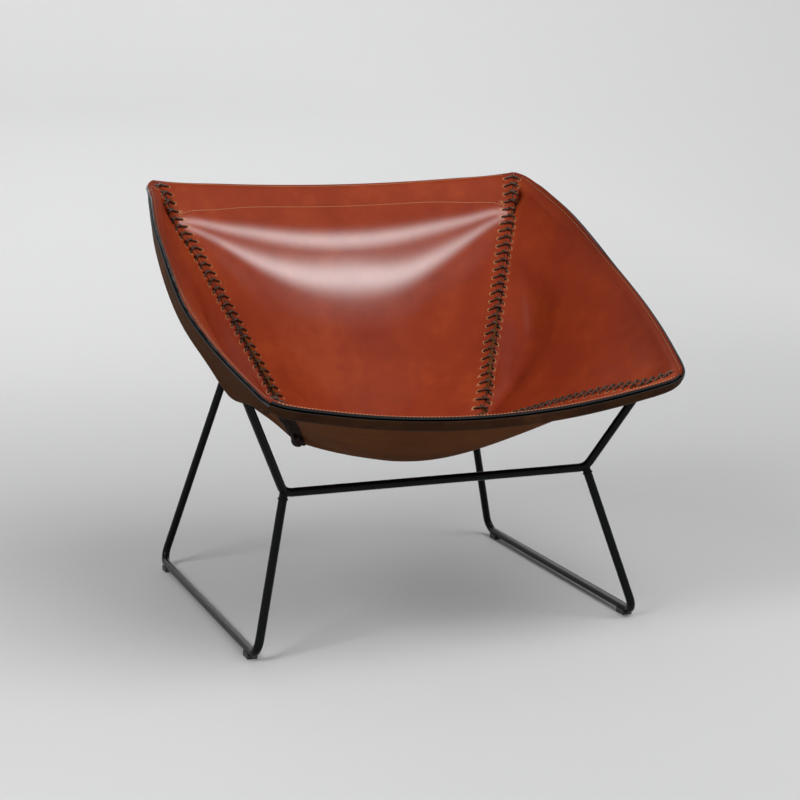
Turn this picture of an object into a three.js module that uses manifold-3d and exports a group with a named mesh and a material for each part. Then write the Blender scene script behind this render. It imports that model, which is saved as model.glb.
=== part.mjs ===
// Leather sling lounge chair: a bowl of laced saddle leather hung in a ring of black steel tube.
// Millimetres, +Z up. The sitter faces -Y, and +X is on the right of someone looking at the front.

import * as THREE from 'three';
import Module from 'manifold-3d';
import { mergeVertices } from 'three/addons/utils/BufferGeometryUtils.js';

// Driving dimensions of the frame
const TUBE_DIAMETER = 15;
const WELD_GAP = 0.3;
const RUNNER_SPREAD = 694;
const RUNNER_LENGTH = 642;
const FOOT_BEND_RADIUS = 22;
const STRETCHER_SPAN = 556;
const STRETCHER_HEIGHT = 267;
const STRETCHER_SETBACK = 64;
const STRETCHER_BEND_RADIUS = 22;
const REAR_BAR_SPAN = 480;
const REAR_BAR_HEIGHT = 403;
const REAR_BAR_SETBACK = 107;
const REAR_BAR_BEND_RADIUS = 30;
const FRONT_ROD_SETBACK = 100;
const GLIDE_HEIGHT = 4;
const GLIDE_LENGTH = 26;
const GLIDE_WALL = 2;
const GLIDE_CLEARANCE = 0.3;
const GLIDE_INSET = 40;

// Driving dimensions of the rim ring, on the tube's centre line, with its corners taken as sharp
const RIM_BACK_WIDTH = 716;
const RIM_FRONT_WIDTH = 714;
const RIM_DEPTH = 694;
const RIM_BACK_Y = 250;
const RIM_BACK_HEIGHT = 737;
const RIM_FRONT_HEIGHT = 447;
const SIDE_BOW = 52;
const SIDE_DROP = 10;
const BACK_BOW = 23;
const BACK_SAG = 16;
const FRONT_BOW = 8;
const FRONT_SAG = 45;
const BACK_CORNER_RADIUS = 60;
const FRONT_CORNER_RADIUS = 50;

// Driving dimensions of the leather
const LEATHER_THICKNESS = 4;
const STRIP_THICKNESS = 3;
const LEATHER_CLEARANCE = 0.3;
const FLANGE = 14;
const CORNER_FLANGE = 30;
const HEM_WIDTH = 52;
const STRIP_CLEARANCE = 0.7;
const STRIP_TAIL = 14;
const ROD_SLOT_CLEARANCE = 1.5;
const SEAM_GAP = 1;
const SEAM_BOW = 9;
const TIP_SPREAD = 360;
const TIP_Y = -28;
const TIP_HEIGHT = 305;
const SEAT_Y = -56;
const SEAT_HEIGHT = 271;
const BACKREST_ANGLE = 63;
const SEAT_FRONT_ANGLE = 30;
const SIDE_SAG = 16;
const LEAN_HEIGHT = 470;
const SIDE_UPRIGHT = 0.6;

// Driving dimensions of the lacing and the sewing thread
const LACE_DIAMETER = 3;
const LACE_PITCH = 18;
const LACE_REACH = 9;
const LACE_TURN = 3;
const LACE_CLEARANCE = 3.1;
const LACE_START = 12;
const LACE_TIP_INSET = 16;
const KNOT_DIAMETER = 13;
const THREAD_DIAMETER = 1;
const THREAD_CLEARANCE = 0.6;
const THREAD_EDGE_INSET = 4;
const THREAD_HEM_INSET = 5;

// Counts
const TUBE_SIDES = 12;
const LACE_SIDES = 5;
const THREAD_SIDES = 4;
const BEND_STEPS = 6;
const RAIL_HALF_STEPS = 5;
const SIDE_STEPS = 8;
const CORNER_HALF_STEPS = 3;
const SEAM_STEPS = 7;
const KNOT_SEGMENTS = 8;
const KNOT_RINGS = 5;

// Shape factors: how far a rail stops short of a corner, in corner radii; a curve's handle, as a share of
// its chord; and the angles at which a sleeve strip turns round its tube
const BEND_EASE = 1.6;
const HANDLE = 0.36;
const STRIP_WRAP = [-5, -35, -65, -95, -125];

// Tolerances, for corners that are one point
const WELD_TOLERANCE = 1e-3;
const SAME_POINT = 1e-4;

// Finishes
const COLOURS = {
  frame: 0x121314,
  leather: 0x96401f,
  strip: 0x3a2118,
  lace: 0x3b281f,
  thread: 0xc98d55,
  glide: 0x1b1b1b,
};
const ROUGHNESS = { frame: 0.35, leather: 0.45, strip: 0.7, lace: 0.6, thread: 0.8, glide: 0.7 };
const METALNESS = { frame: 0.6 };

const TUBE_RADIUS = TUBE_DIAMETER / 2;
const SHEET_OFFSET = TUBE_RADIUS + LEATHER_CLEARANCE + LEATHER_THICKNESS / 2;
const RUNNER_HEIGHT = GLIDE_HEIGHT + GLIDE_CLEARANCE + TUBE_RADIUS;

const wasm = await Module();
wasm.setup();

const point = (x, y, z) => new THREE.Vector3(x, y, z);
const mix = (a, b, t) => new THREE.Vector3().lerpVectors(a, b, t);
const along = (p, direction, distance) => p.clone().addScaledVector(direction, distance);
const heading = (from, to) => to.clone().sub(from).normalize();
const flip = (p) => point(-p.x, p.y, p.z);

// Solids

// Geometry from loose triangles, each a list of three corners.
function solidFrom(triangles) {
  const geometry = new THREE.BufferGeometry();
  const positions = triangles.flat().flatMap((p) => [p.x, p.y, p.z]);
  geometry.setAttribute('position', new THREE.Float32BufferAttribute(positions, 3));
  return geometry;
}

function signedVolume(triangles) {
  const cross = new THREE.Vector3();
  return triangles.reduce((sum, [a, b, c]) => sum + a.dot(cross.crossVectors(b, c)) / 6, 0);
}

// The triangles of a closed solid, turned to face outward.
function outward(triangles) {
  return signedVolume(triangles) < 0 ? triangles.map(([a, b, c]) => [a, c, b]) : triangles;
}

function mirrored(geometry) {
  const copy = geometry.index ? geometry.toNonIndexed() : geometry.clone();
  const position = copy.getAttribute('position');
  const triangles = [];
  for (let i = 0; i < position.count; i += 3) {
    const [a, b, c] = [0, 1, 2].map((k) => flip(new THREE.Vector3().fromBufferAttribute(position, i + k)));
    triangles.push([a, c, b]);
  }
  return solidFrom(triangles);
}

// Walls of a solid skinned over a row of like sections.
function skinned(sections) {
  const triangles = [];
  const count = sections[0].length;
  for (let i = 0; i + 1 < sections.length; i += 1) {
    for (let k = 0; k < count; k += 1) {
      const next = (k + 1) % count;
      const [a, b] = [sections[i][k], sections[i][next]];
      const [c, d] = [sections[i + 1][k], sections[i + 1][next]];
      triangles.push([a, b, d], [a, d, c]);
    }
  }
  return triangles;
}

function manifoldOf(geometry) {
  const bare = geometry.clone();
  bare.deleteAttribute('normal');
  bare.deleteAttribute('uv');
  const merged = mergeVertices(bare, WELD_TOLERANCE);
  const vertProperties = new Float32Array(merged.getAttribute('position').array);
  const triVerts = new Uint32Array(merged.index.array);
  return new wasm.Manifold(new wasm.Mesh({ numProp: 3, vertProperties, triVerts }));
}

function geometryOf(solid) {
  const mesh = solid.getMesh();
  const geometry = new THREE.BufferGeometry();
  geometry.setAttribute('position', new THREE.BufferAttribute(new Float32Array(mesh.vertProperties), 3));
  geometry.setIndex(Array.from(mesh.triVerts));
  return geometry;
}

function cutBy(geometry, ...cutters) {
  const cut = cutters.reduce((solid, cutter) => solid.subtract(manifoldOf(cutter)), manifoldOf(geometry));
  return geometryOf(cut);
}

// Tubes

// A tube's centre line through chosen stations, close together only where it bends.
class BentLine extends THREE.Curve {
  constructor(stations) {
    super();
    this.stations = stations;
  }

  getPoint(t, target = new THREE.Vector3()) {
    const last = this.stations.length - 1;
    const place = Math.min(Math.max(t, 0), 1) * last;
    const i = Math.min(Math.floor(place), last - 1);
    return target.lerpVectors(this.stations[i], this.stations[i + 1], place - i);
  }

  getUtoTmapping(u) {
    return u;
  }
}

function tube(stations, diameter, sides) {
  const outline = Array.from({ length: sides }, (_, k) => {
    const angle = ((k + 0.5) / sides) * 2 * Math.PI;
    return new THREE.Vector2(Math.cos(angle), Math.sin(angle)).multiplyScalar(diameter / 2);
  });
  const options = { steps: stations.length - 1, bevelEnabled: false, extrudePath: new BentLine(stations) };
  return new THREE.ExtrudeGeometry(new THREE.Shape(outline), options);
}

// Stations of a round bend in place of a sharp corner.
function bend(before, corner, after, radius, steps) {
  const [u, w] = [heading(corner, before), heading(corner, after)];
  const half = u.angleTo(w) / 2;
  const reach = radius / Math.tan(half);
  const centre = along(corner, u.clone().add(w).normalize(), radius / Math.sin(half));
  const first = along(corner, u, reach).sub(centre);
  const axis = new THREE.Vector3().crossVectors(first, along(corner, w, reach).sub(centre)).normalize();
  const sweep = Math.PI - 2 * half;
  return Array.from({ length: steps + 1 }, (_, k) =>
    first.clone().applyAxisAngle(axis, (sweep * k) / steps).add(centre));
}

// A rod through sharp corners, each rounded to its radius.
function rodLine(corners, radii) {
  const stations = [corners[0]];
  for (let i = 1; i + 1 < corners.length; i += 1) {
    stations.push(...bend(corners[i - 1], corners[i], corners[i + 1], radii[i - 1], BEND_STEPS));
  }
  stations.push(corners[corners.length - 1]);
  return stations;
}

// Rim ring: the right half from the middle of the back to the middle of the front

const rimFrontY = RIM_BACK_Y - RIM_DEPTH;
const backCorner = point(RIM_BACK_WIDTH / 2, RIM_BACK_Y, RIM_BACK_HEIGHT);
const frontCorner = point(RIM_FRONT_WIDTH / 2, rimFrontY, RIM_FRONT_HEIGHT);
const backBow = point(0, BACK_BOW, -BACK_SAG);
const sideBow = point(SIDE_BOW, 0, -SIDE_DROP);
const frontBow = point(0, -FRONT_BOW, -FRONT_SAG);

// A rail bows as a parabola between its two sharp corners.
function railPoint(start, end, bow, t) {
  return along(mix(start, end, t), bow, 4 * t * (1 - t));
}

// Corner arc in place of a sharp corner, in line with the two rails just beside it.
function cornerArc(corner, fromRail, toRail, radius) {
  return bend(fromRail(TUBE_DIAMETER), corner, toRail(TUBE_DIAMETER), radius, 2 * CORNER_HALF_STEPS);
}

const backRail = (distance) => {
  const t = 1 - distance / RIM_BACK_WIDTH;
  return railPoint(flip(backCorner), backCorner, backBow, t);
};
const sideLength = backCorner.distanceTo(frontCorner);
const sideRail = (distance) => railPoint(backCorner, frontCorner, sideBow, distance / sideLength);
const frontRail = (distance) => {
  const t = 1 - distance / RIM_FRONT_WIDTH;
  return railPoint(flip(frontCorner), frontCorner, frontBow, t);
};

function spread(rail, from, to, steps) {
  return Array.from({ length: steps + 1 }, (_, k) => rail(from + ((to - from) * k) / steps));
}

const sideStart = BEND_EASE * BACK_CORNER_RADIUS;
const sideEnd = sideLength - BEND_EASE * FRONT_CORNER_RADIUS;
const halfRing = [
  ...spread(backRail, RIM_BACK_WIDTH / 2, sideStart, RAIL_HALF_STEPS - 1),
  ...cornerArc(backCorner, backRail, sideRail, BACK_CORNER_RADIUS),
  ...spread(sideRail, sideStart, sideEnd, SIDE_STEPS - 2),
  ...cornerArc(frontCorner, (d) => sideRail(sideLength - d), frontRail, FRONT_CORNER_RADIUS),
  ...spread(frontRail, sideLength - sideEnd, RIM_FRONT_WIDTH / 2, RAIL_HALF_STEPS - 1),
];
const BACK_SEAM = RAIL_HALF_STEPS + CORNER_HALF_STEPS;
const FRONT_SEAM = BACK_SEAM + 2 * SEAM_STEPS;
const LAST = halfRing.length - 1;

const wholeRing = [...halfRing, ...halfRing.slice(1, -1).reverse().map(flip)];
const ringStations = [...wholeRing, wholeRing[0]];
const weldHalf = point(WELD_GAP / 2, 0, 0);
ringStations[0] = ringStations[0].clone().add(weldHalf);
ringStations[ringStations.length - 1] = ringStations[ringStations.length - 1].clone().sub(weldHalf);

// Leather frames along the rim: tangent, direction up the leather, and its inner normal

const tip = point(TIP_SPREAD / 2, TIP_Y, TIP_HEIGHT);
const slope = (degrees, toward) => {
  const angle = THREE.MathUtils.degToRad(degrees);
  return point(0, toward * Math.cos(angle), Math.sin(angle));
};
const upBack = slope(BACKREST_ANGLE, 1);
const upFront = slope(SEAT_FRONT_ANGLE, -1);

// How far a station of the back or front rail is from the middle, as a share of the way to its seam.
function seamShare(i) {
  if (i <= BACK_SEAM) return halfRing[i].x / halfRing[BACK_SEAM].x;
  if (i >= FRONT_SEAM) return halfRing[i].x / halfRing[FRONT_SEAM].x;
  return 1;
}

// The leather leans out at the back corners, and stands more upright along the fore half of the sides.
function sideAim(i) {
  const forward = THREE.MathUtils.clamp((i - BACK_SEAM) / (FRONT_SEAM - BACK_SEAM), 0, 1);
  const leanFrom = point(tip.x, tip.y, THREE.MathUtils.lerp(LEAN_HEIGHT, TIP_HEIGHT, forward));
  const upright = SIDE_UPRIGHT * 4 * forward ** 2 * (1 - forward);
  return mix(heading(leanFrom, halfRing[i]), point(0, 0, 1), upright);
}

function rimFrame(i) {
  const centre = halfRing[i];
  const before = i > 0 ? halfRing[i - 1] : flip(halfRing[1]);
  const after = i < LAST ? halfRing[i + 1] : flip(halfRing[LAST - 1]);
  const tangent = heading(before, after);
  const share = seamShare(i) ** 2;
  const middle = i <= BACK_SEAM ? upBack : upFront;
  const aim = mix(middle, sideAim(i), share);
  const up = aim.addScaledVector(tangent, -aim.dot(tangent)).normalize();
  const inner = new THREE.Vector3().crossVectors(tangent, up);
  return { centre, tangent, up, inner };
}

const rim = halfRing.map((_, i) => rimFrame(i));

// A point beside the tube: a up the leather from the tube's centre, b along the inner normal.
function beside({ centre, up, inner }, a, b) {
  return along(along(centre, up, a), inner, b);
}

const HEM_REACH = HEM_WIDTH - FLANGE;

// How far the leather stands above the tube: more at the back corners, where its outline is less round.
function flangeAt(i) {
  const nearness = Math.max(0, 1 - Math.abs(i - BACK_SEAM) / (CORNER_HALF_STEPS + 1));
  return FLANGE + (CORNER_FLANGE - FLANGE) * nearness ** 2;
}

// The band along rail station i: the cut edge, the line over the tube and the hem.
function band(i) {
  return [flangeAt(i), 0, -HEM_REACH].map((a) => beside(rim[i], a, SHEET_OFFSET));
}
const BAND_ROWS = 3;

// Leather panels: middle surfaces

function bezier(a, b, c, d, t) {
  return new THREE.CubicBezierCurve3(a, b, c, d).getPoint(t);
}

const backHem = (j) => beside(rim[j], -HEM_REACH, SHEET_OFFSET);
const frontHem = (j) => beside(rim[LAST - j], -HEM_REACH, SHEET_OFFSET);
const stepsTo = (line, count) => Array.from({ length: count + 1 }, (_, k) => line(k / count));

// Distance from the start of a line to each of its points.
function runsAlong(line) {
  const runs = [0];
  for (let k = 1; k < line.length; k += 1) runs.push(runs[k - 1] + line[k].distanceTo(line[k - 1]));
  return runs;
}

// The centre panel's line down its middle, from the back hem over the seat to the front hem.
function middleLine() {
  const low = point(0, SEAT_Y, SEAT_HEIGHT);
  const level = point(0, -1, 0);
  const rearHandle = HANDLE * backHem(0).distanceTo(low);
  const foreHandle = HANDLE * low.distanceTo(frontHem(0));
  const rear = [backHem(0), along(backHem(0), upBack, -rearHandle), along(low, level, -rearHandle), low];
  const fore = [low, along(low, level, foreHandle), along(frontHem(0), upFront, -foreHandle), frontHem(0)];
  return [
    ...stepsTo((t) => bezier(...rear, t), SEAM_STEPS),
    ...stepsTo((t) => bezier(...fore, t), SEAM_STEPS).slice(1),
  ];
}

// A seam runs from a back corner's hem to the tip and on to the front corner's hem, bowed a little inward.
const seamBow = (frame, t) => frame.inner.clone().multiplyScalar(SEAM_BOW * 4 * t * (1 - t));
const cornerSeam = [
  ...stepsTo((t) => mix(backHem(BACK_SEAM), tip, t).add(seamBow(rim[BACK_SEAM], t)), SEAM_STEPS),
  ...stepsTo((t) => mix(tip, frontHem(BACK_SEAM), t).add(seamBow(rim[FRONT_SEAM], t)), SEAM_STEPS).slice(1),
];
const seatMiddle = middleLine();

// Each cross-section of the seat is a parabola from the middle line up to the seams.
function trough(share, k) {
  const across = mix(seatMiddle[k], cornerSeam[k], share ** 2);
  across.x = share * cornerSeam[k].x;
  return across;
}

// Toward the hems the lines of the seat turn to meet the rails.
function seatLine(j) {
  const share = seamShare(j);
  const last = cornerSeam.length - 1;
  const backShift = backHem(j).sub(trough(share, 0));
  const frontShift = frontHem(j).sub(trough(share, last));
  return cornerSeam.map((_, k) => {
    const shift = k <= SEAM_STEPS ? backShift : frontShift;
    const distance = Math.min(k, last - k) / SEAM_STEPS;
    return along(trough(share, k), shift, (1 - distance) ** 2);
  });
}

// Rows from the back edge to the front edge; columns from the middle to the right seam.
const seatColumns = Array.from({ length: BACK_SEAM + 1 }, (_, j) => [
  ...band(j).slice(0, -1),
  ...seatLine(j),
  ...band(LAST - j).slice(0, -1).reverse(),
]);
const seamLine = seatColumns[BACK_SEAM];
const SEAM_FIRST = BAND_ROWS - 1;

// Side panel: rows from the rim edge down to the tip; columns from the rear seam to the front seam.
const sideBands = rim.slice(BACK_SEAM, FRONT_SEAM + 1).map((_, i) => band(BACK_SEAM + i));
const sideHem = sideBands.map((band) => band[SEAM_FIRST]);
const hemRuns = runsAlong(sideHem);
const rearSeam = seamLine.slice(SEAM_FIRST, SEAM_FIRST + SEAM_STEPS + 1);
const foreSeam = seamLine.slice(SEAM_FIRST + SEAM_STEPS, seamLine.length - SEAM_FIRST).reverse();

function sideColumn(i) {
  const share = hemRuns[i] / hemRuns[hemRuns.length - 1];
  const bulge = sideHem[i].clone().sub(mix(rearSeam[0], foreSeam[0], share));
  const sag = SIDE_SAG * Math.sin(Math.PI * share);
  const column = sideBands[i].slice();
  for (let k = 1; k <= SEAM_STEPS; k += 1) {
    const w = k / SEAM_STEPS;
    const between = along(mix(rearSeam[k], foreSeam[k], share), bulge, 1 - w);
    column.push(along(between, rim[BACK_SEAM + i].inner, -sag * 4 * w * (1 - w)));
  }
  return column;
}

const sideColumns = sideBands.map((_, i) => sideColumn(i));

// Normals of a grid of columns, as the mean of the faces that meet at each corner.
function gridNormals(columns) {
  const normals = columns.map((column) => column.map(() => point(0, 0, 0)));
  const face = new THREE.Vector3();
  for (let i = 0; i + 1 < columns.length; i += 1) {
    for (let k = 0; k + 1 < columns[0].length; k += 1) {
      const [a, b] = [columns[i][k], columns[i][k + 1]];
      const [c, d] = [columns[i + 1][k], columns[i + 1][k + 1]];
      face.crossVectors(d.clone().sub(a), c.clone().sub(b));
      [[i, k], [i, k + 1], [i + 1, k], [i + 1, k + 1]].forEach(([m, n]) => normals[m][n].add(face));
    }
  }
  return normals.map((column) => column.map((n) => n.normalize()));
}

const seatFull = [...seatColumns.slice(1).reverse().map((column) => column.map(flip)), ...seatColumns];
const SEAT_MIDDLE = BACK_SEAM;

function facing(normals, reference) {
  const sign = Math.sign(normals.flat().reduce((sum, n) => sum + n.dot(reference), 0));
  return normals.map((column) => column.map((n) => n.multiplyScalar(sign)));
}

const seatNormals = facing(gridNormals(seatFull), point(0, 0, 1));
const sideNormals = facing(gridNormals(sideColumns), point(-1, 0, 1));

// The band along the rim keeps the rim's own normals, so it clears the tube evenly.
seatFull.forEach((column, m) => {
  const j = Math.abs(m - SEAT_MIDDLE);
  const turn = m < SEAT_MIDDLE ? flip : (p) => p.clone();
  for (let k = 0; k < BAND_ROWS; k += 1) {
    seatNormals[m][k] = turn(rim[j].inner);
    seatNormals[m][column.length - 1 - k] = turn(rim[LAST - j].inner);
  }
});
sideColumns.forEach((column, i) => {
  for (let k = 0; k < BAND_ROWS; k += 1) sideNormals[i][k] = rim[BACK_SEAM + i].inner.clone();
});

// Both panels share one normal along their seam, and each keeps half of the seam's gap.
const tipRow = SEAM_FIRST + SEAM_STEPS;
const lastSide = sideColumns.length - 1;
const sidePlace = (row) => (row <= tipRow ? [0, row] : [lastSide, seamLine.length - 1 - row]);
const seamNormals = seamLine.map((_, row) => {
  const [i, k] = sidePlace(row);
  return seatNormals[seatNormals.length - 1][row].clone().add(sideNormals[i][k]).normalize();
});
const seamTangents = seamLine.map((_, row) => {
  const before = seamLine[Math.max(row - 1, 0)];
  const after = seamLine[Math.min(row + 1, seamLine.length - 1)];
  return heading(before, after);
});
// Points toward the side panel, square to the seam.
const seamAcross = seamLine.map((_, row) =>
  new THREE.Vector3().crossVectors(seamNormals[row], seamTangents[row]).normalize());
if (seamAcross[tipRow].x < 0) seamAcross.forEach((direction) => direction.negate());

const seatEdge = seamLine.map((p, row) => along(p, seamAcross[row], -SEAM_GAP / 2));
seatFull[seatFull.length - 1] = seatEdge;
seatFull[0] = seatEdge.map(flip);
seatNormals[seatNormals.length - 1] = seamNormals.map((n) => n.clone());
seatNormals[0] = seamNormals.map(flip);
seamLine.forEach((p, row) => {
  const [i, k] = sidePlace(row);
  sideColumns[i][k] = along(p, seamAcross[row], SEAM_GAP / 2);
  sideNormals[i][k] = seamNormals[row].clone();
});
sideColumns.forEach((column, i) => {
  column[tipRow] = sideColumns[0][tipRow];
  sideNormals[i][tipRow] = seamNormals[tipRow].clone();
});

// A sheet of leather: both faces of a grid of columns, and the cut edge all round.
function sheet(columns, normals) {
  const face = (lift) => columns.map((column, i) => column.map((p, k) => along(p, normals[i][k], lift)));
  const [inner, outer] = [face(LEATHER_THICKNESS / 2), face(-LEATHER_THICKNESS / 2)];
  const triangles = [];
  const quad = (a, b, c, d) => {
    [[a, b, c], [a, c, d]].forEach((t) => {
      const apart = (p, q) => p.distanceTo(q) > SAME_POINT;
      if (apart(t[0], t[1]) && apart(t[1], t[2]) && apart(t[2], t[0])) triangles.push(t);
    });
  };
  const lastColumn = columns.length - 1;
  const lastRow = columns[0].length - 1;
  for (let i = 0; i < lastColumn; i += 1) {
    for (let k = 0; k < lastRow; k += 1) {
      quad(inner[i][k], inner[i + 1][k], inner[i + 1][k + 1], inner[i][k + 1]);
      quad(outer[i][k], outer[i][k + 1], outer[i + 1][k + 1], outer[i + 1][k]);
    }
    quad(inner[i][0], outer[i][0], outer[i + 1][0], inner[i + 1][0]);
    quad(inner[i][lastRow], inner[i + 1][lastRow], outer[i + 1][lastRow], outer[i][lastRow]);
  }
  for (let k = 0; k < lastRow; k += 1) {
    quad(inner[0][k], inner[0][k + 1], outer[0][k + 1], outer[0][k]);
    quad(inner[lastColumn][k], outer[lastColumn][k], outer[lastColumn][k + 1], inner[lastColumn][k + 1]);
  }
  return solidFrom(outward(triangles));
}

// Frame pieces

const junction = point(STRETCHER_SPAN / 2, -RUNNER_LENGTH / 2 + STRETCHER_SETBACK, STRETCHER_HEIGHT);
const rearJunction = point(REAR_BAR_SPAN / 2, RUNNER_LENGTH / 2 - REAR_BAR_SETBACK, REAR_BAR_HEIGHT);
const frontFoot = point(RUNNER_SPREAD / 2, -RUNNER_LENGTH / 2, RUNNER_HEIGHT);
const backFoot = point(RUNNER_SPREAD / 2, RUNNER_LENGTH / 2, RUNNER_HEIGHT);
const frontRodTop = sideRail(sideLength - FRONT_ROD_SETBACK);
const rearRodTop = halfRing[BACK_SEAM];

const frontRodLine = rodLine(
  [flip(frontRodTop), flip(junction), junction, frontRodTop],
  [STRETCHER_BEND_RADIUS, STRETCHER_BEND_RADIUS],
);
const rearRodLine = rodLine(
  [flip(rearRodTop), flip(rearJunction), rearJunction, rearRodTop],
  [REAR_BAR_BEND_RADIUS, REAR_BAR_BEND_RADIUS],
);
const legLine = rodLine(
  [junction, frontFoot, backFoot, rearJunction],
  [FOOT_BEND_RADIUS, FOOT_BEND_RADIUS],
);

const clearDiameter = TUBE_DIAMETER + (2 * WELD_GAP) / Math.cos(Math.PI / TUBE_SIDES);
const clearRing = tube(ringStations, clearDiameter, TUBE_SIDES);
const clearFrontRod = tube(frontRodLine, clearDiameter, TUBE_SIDES);
const clearRearRod = tube(rearRodLine, clearDiameter, TUBE_SIDES);

const rimRing = tube(ringStations, TUBE_DIAMETER, TUBE_SIDES);
const frontRod = cutBy(tube(frontRodLine, TUBE_DIAMETER, TUBE_SIDES), clearRing);
const rearRod = cutBy(tube(rearRodLine, TUBE_DIAMETER, TUBE_SIDES), clearRing);
const rightLeg = cutBy(tube(legLine, TUBE_DIAMETER, TUBE_SIDES), clearFrontRod, clearRearRod);

// Glide: a flat-bottomed saddle that clips under a runner.
function glide(y) {
  const seatRadius = TUBE_RADIUS + GLIDE_CLEARANCE;
  const halfWidth = seatRadius + GLIDE_WALL;
  const outline = new THREE.Shape();
  outline.moveTo(-halfWidth, 0);
  outline.lineTo(halfWidth, 0);
  outline.lineTo(halfWidth, RUNNER_HEIGHT);
  outline.lineTo(seatRadius, RUNNER_HEIGHT);
  outline.absarc(0, RUNNER_HEIGHT, seatRadius, 0, Math.PI, true);
  outline.lineTo(-halfWidth, RUNNER_HEIGHT);
  const options = { depth: GLIDE_LENGTH, bevelEnabled: false, curveSegments: TUBE_SIDES };
  const geometry = new THREE.ExtrudeGeometry(outline, options);
  geometry.translate(0, 0, -GLIDE_LENGTH / 2);
  geometry.rotateX(Math.PI / 2);
  geometry.translate(RUNNER_SPREAD / 2, y, 0);
  return geometry;
}

const glideY = RUNNER_LENGTH / 2 - GLIDE_INSET;
const frontGlide = glide(-glideY);
const rearGlide = glide(glideY);

// Sleeve strips: from the cut edge round the outside of the tube and back to the panel

const stripMiddle = TUBE_RADIUS - STRIP_THICKNESS / 2;
const stripRadius = TUBE_RADIUS + STRIP_CLEARANCE + STRIP_THICKNESS / 2;
const stripTailEnd = -(HEM_REACH - LEATHER_CLEARANCE);

function stripOutline() {
  const wrap = STRIP_WRAP.map((degrees) => {
    const angle = THREE.MathUtils.degToRad(degrees);
    return new THREE.Vector2(Math.cos(angle), Math.sin(angle)).multiplyScalar(stripRadius);
  });
  const path = [
    new THREE.Vector2(FLANGE, stripMiddle),
    new THREE.Vector2((FLANGE + stripRadius) / 2, stripMiddle - STRIP_THICKNESS / 2),
    ...wrap,
    new THREE.Vector2(stripTailEnd + STRIP_TAIL, stripMiddle - STRIP_THICKNESS / 4),
    new THREE.Vector2(stripTailEnd, stripMiddle),
  ];
  const sideOf = (sign) => path.map((p, k) => {
    const before = path[Math.max(k - 1, 0)];
    const after = path[Math.min(k + 1, path.length - 1)];
    const run = after.clone().sub(before).normalize();
    const square = new THREE.Vector2(-run.y, run.x);
    return p.clone().addScaledVector(square, (sign * STRIP_THICKNESS) / 2);
  });
  const round = [...sideOf(1), ...sideOf(-1).reverse()];
  return THREE.ShapeUtils.isClockWise(round) ? round.reverse() : round;
}

const stripSection = stripOutline();
const stripEndFaces = THREE.ShapeUtils.triangulateShape(stripSection, []);

function strip(frames) {
  const sections = frames.map((frame) => stripSection.map((p) => beside(frame, p.x, p.y)));
  const triangles = skinned(sections);
  stripEndFaces.forEach(([a, b, c]) => {
    const [start, end] = [sections[0], sections[sections.length - 1]];
    triangles.push([start[a], start[c], start[b]], [end[a], end[b], end[c]]);
  });
  return solidFrom(outward(triangles));
}

// The frames of the whole back or front rail, mirrored about the middle.
function mirrorFrames(frames) {
  const left = frames.slice(1).reverse().map((f) => ({
    centre: flip(f.centre),
    up: flip(f.up),
    inner: flip(f.inner),
  }));
  return [...left, ...frames];
}

const backFrames = mirrorFrames(rim.slice(0, RAIL_HALF_STEPS + 1));
const frontFrames = mirrorFrames(rim.slice(LAST - RAIL_HALF_STEPS).reverse());
const sideFrames = rim.slice(BACK_SEAM + CORNER_HALF_STEPS, FRONT_SEAM - CORNER_HALF_STEPS + 1);
const slotCutter = tube(frontRodLine, TUBE_DIAMETER + 2 * ROD_SLOT_CLEARANCE, TUBE_SIDES);
const backStrip = strip(backFrames);
const frontStrip = strip(frontFrames);
const rightStrip = cutBy(strip(sideFrames), slotCutter);

// Laces: one zigzag cord over each seam, lying on the inner faces

const laceLift = LEATHER_THICKNESS / 2 + LACE_CLEARANCE + LACE_DIAMETER / 2;

// Each panel's columns and normals, ordered from the seam into the panel.
const fromSeam = {
  seat: [seatFull.slice().reverse(), seatNormals.slice().reverse()],
  rearSide: [sideColumns, sideNormals],
  foreSide: [sideColumns.slice().reverse(), sideNormals.slice().reverse()],
};

// Where the cord lies over a panel, a stitch's reach from the seam; the row may fall between two rows.
function stitchEnd([columns, normals], row, tangent) {
  const k = Math.min(Math.floor(row), columns[0].length - 2);
  const at = (grid, i) => mix(grid[i][k], grid[i][k + 1], row - k);
  let i = 0;
  let reach = 0;
  let across = 0;
  while (reach + across < LACE_REACH && i + 1 < columns.length) {
    reach += across;
    i += 1;
    const step = at(columns, i).sub(at(columns, i - 1));
    across = step.addScaledVector(tangent, -step.dot(tangent)).length();
  }
  const t = Math.min((LACE_REACH - reach) / across, 1);
  const normal = mix(at(normals, i - 1), at(normals, i), t).normalize();
  return along(mix(at(columns, i - 1), at(columns, i), t), normal, laceLift);
}

const seamRuns = runsAlong(seamLine);

function rowAtRun(run) {
  let k = 0;
  while (k + 2 < seamRuns.length && seamRuns[k + 1] < run) k += 1;
  return k + (run - seamRuns[k]) / (seamRuns[k + 1] - seamRuns[k]);
}

// Where the cord crosses the seam itself.
function overSeam(row) {
  const k = Math.min(Math.floor(row), seamLine.length - 2);
  const at = (list) => mix(list[k], list[k + 1], row - k);
  return along(at(seamLine), at(seamNormals).normalize(), laceLift);
}

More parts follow.
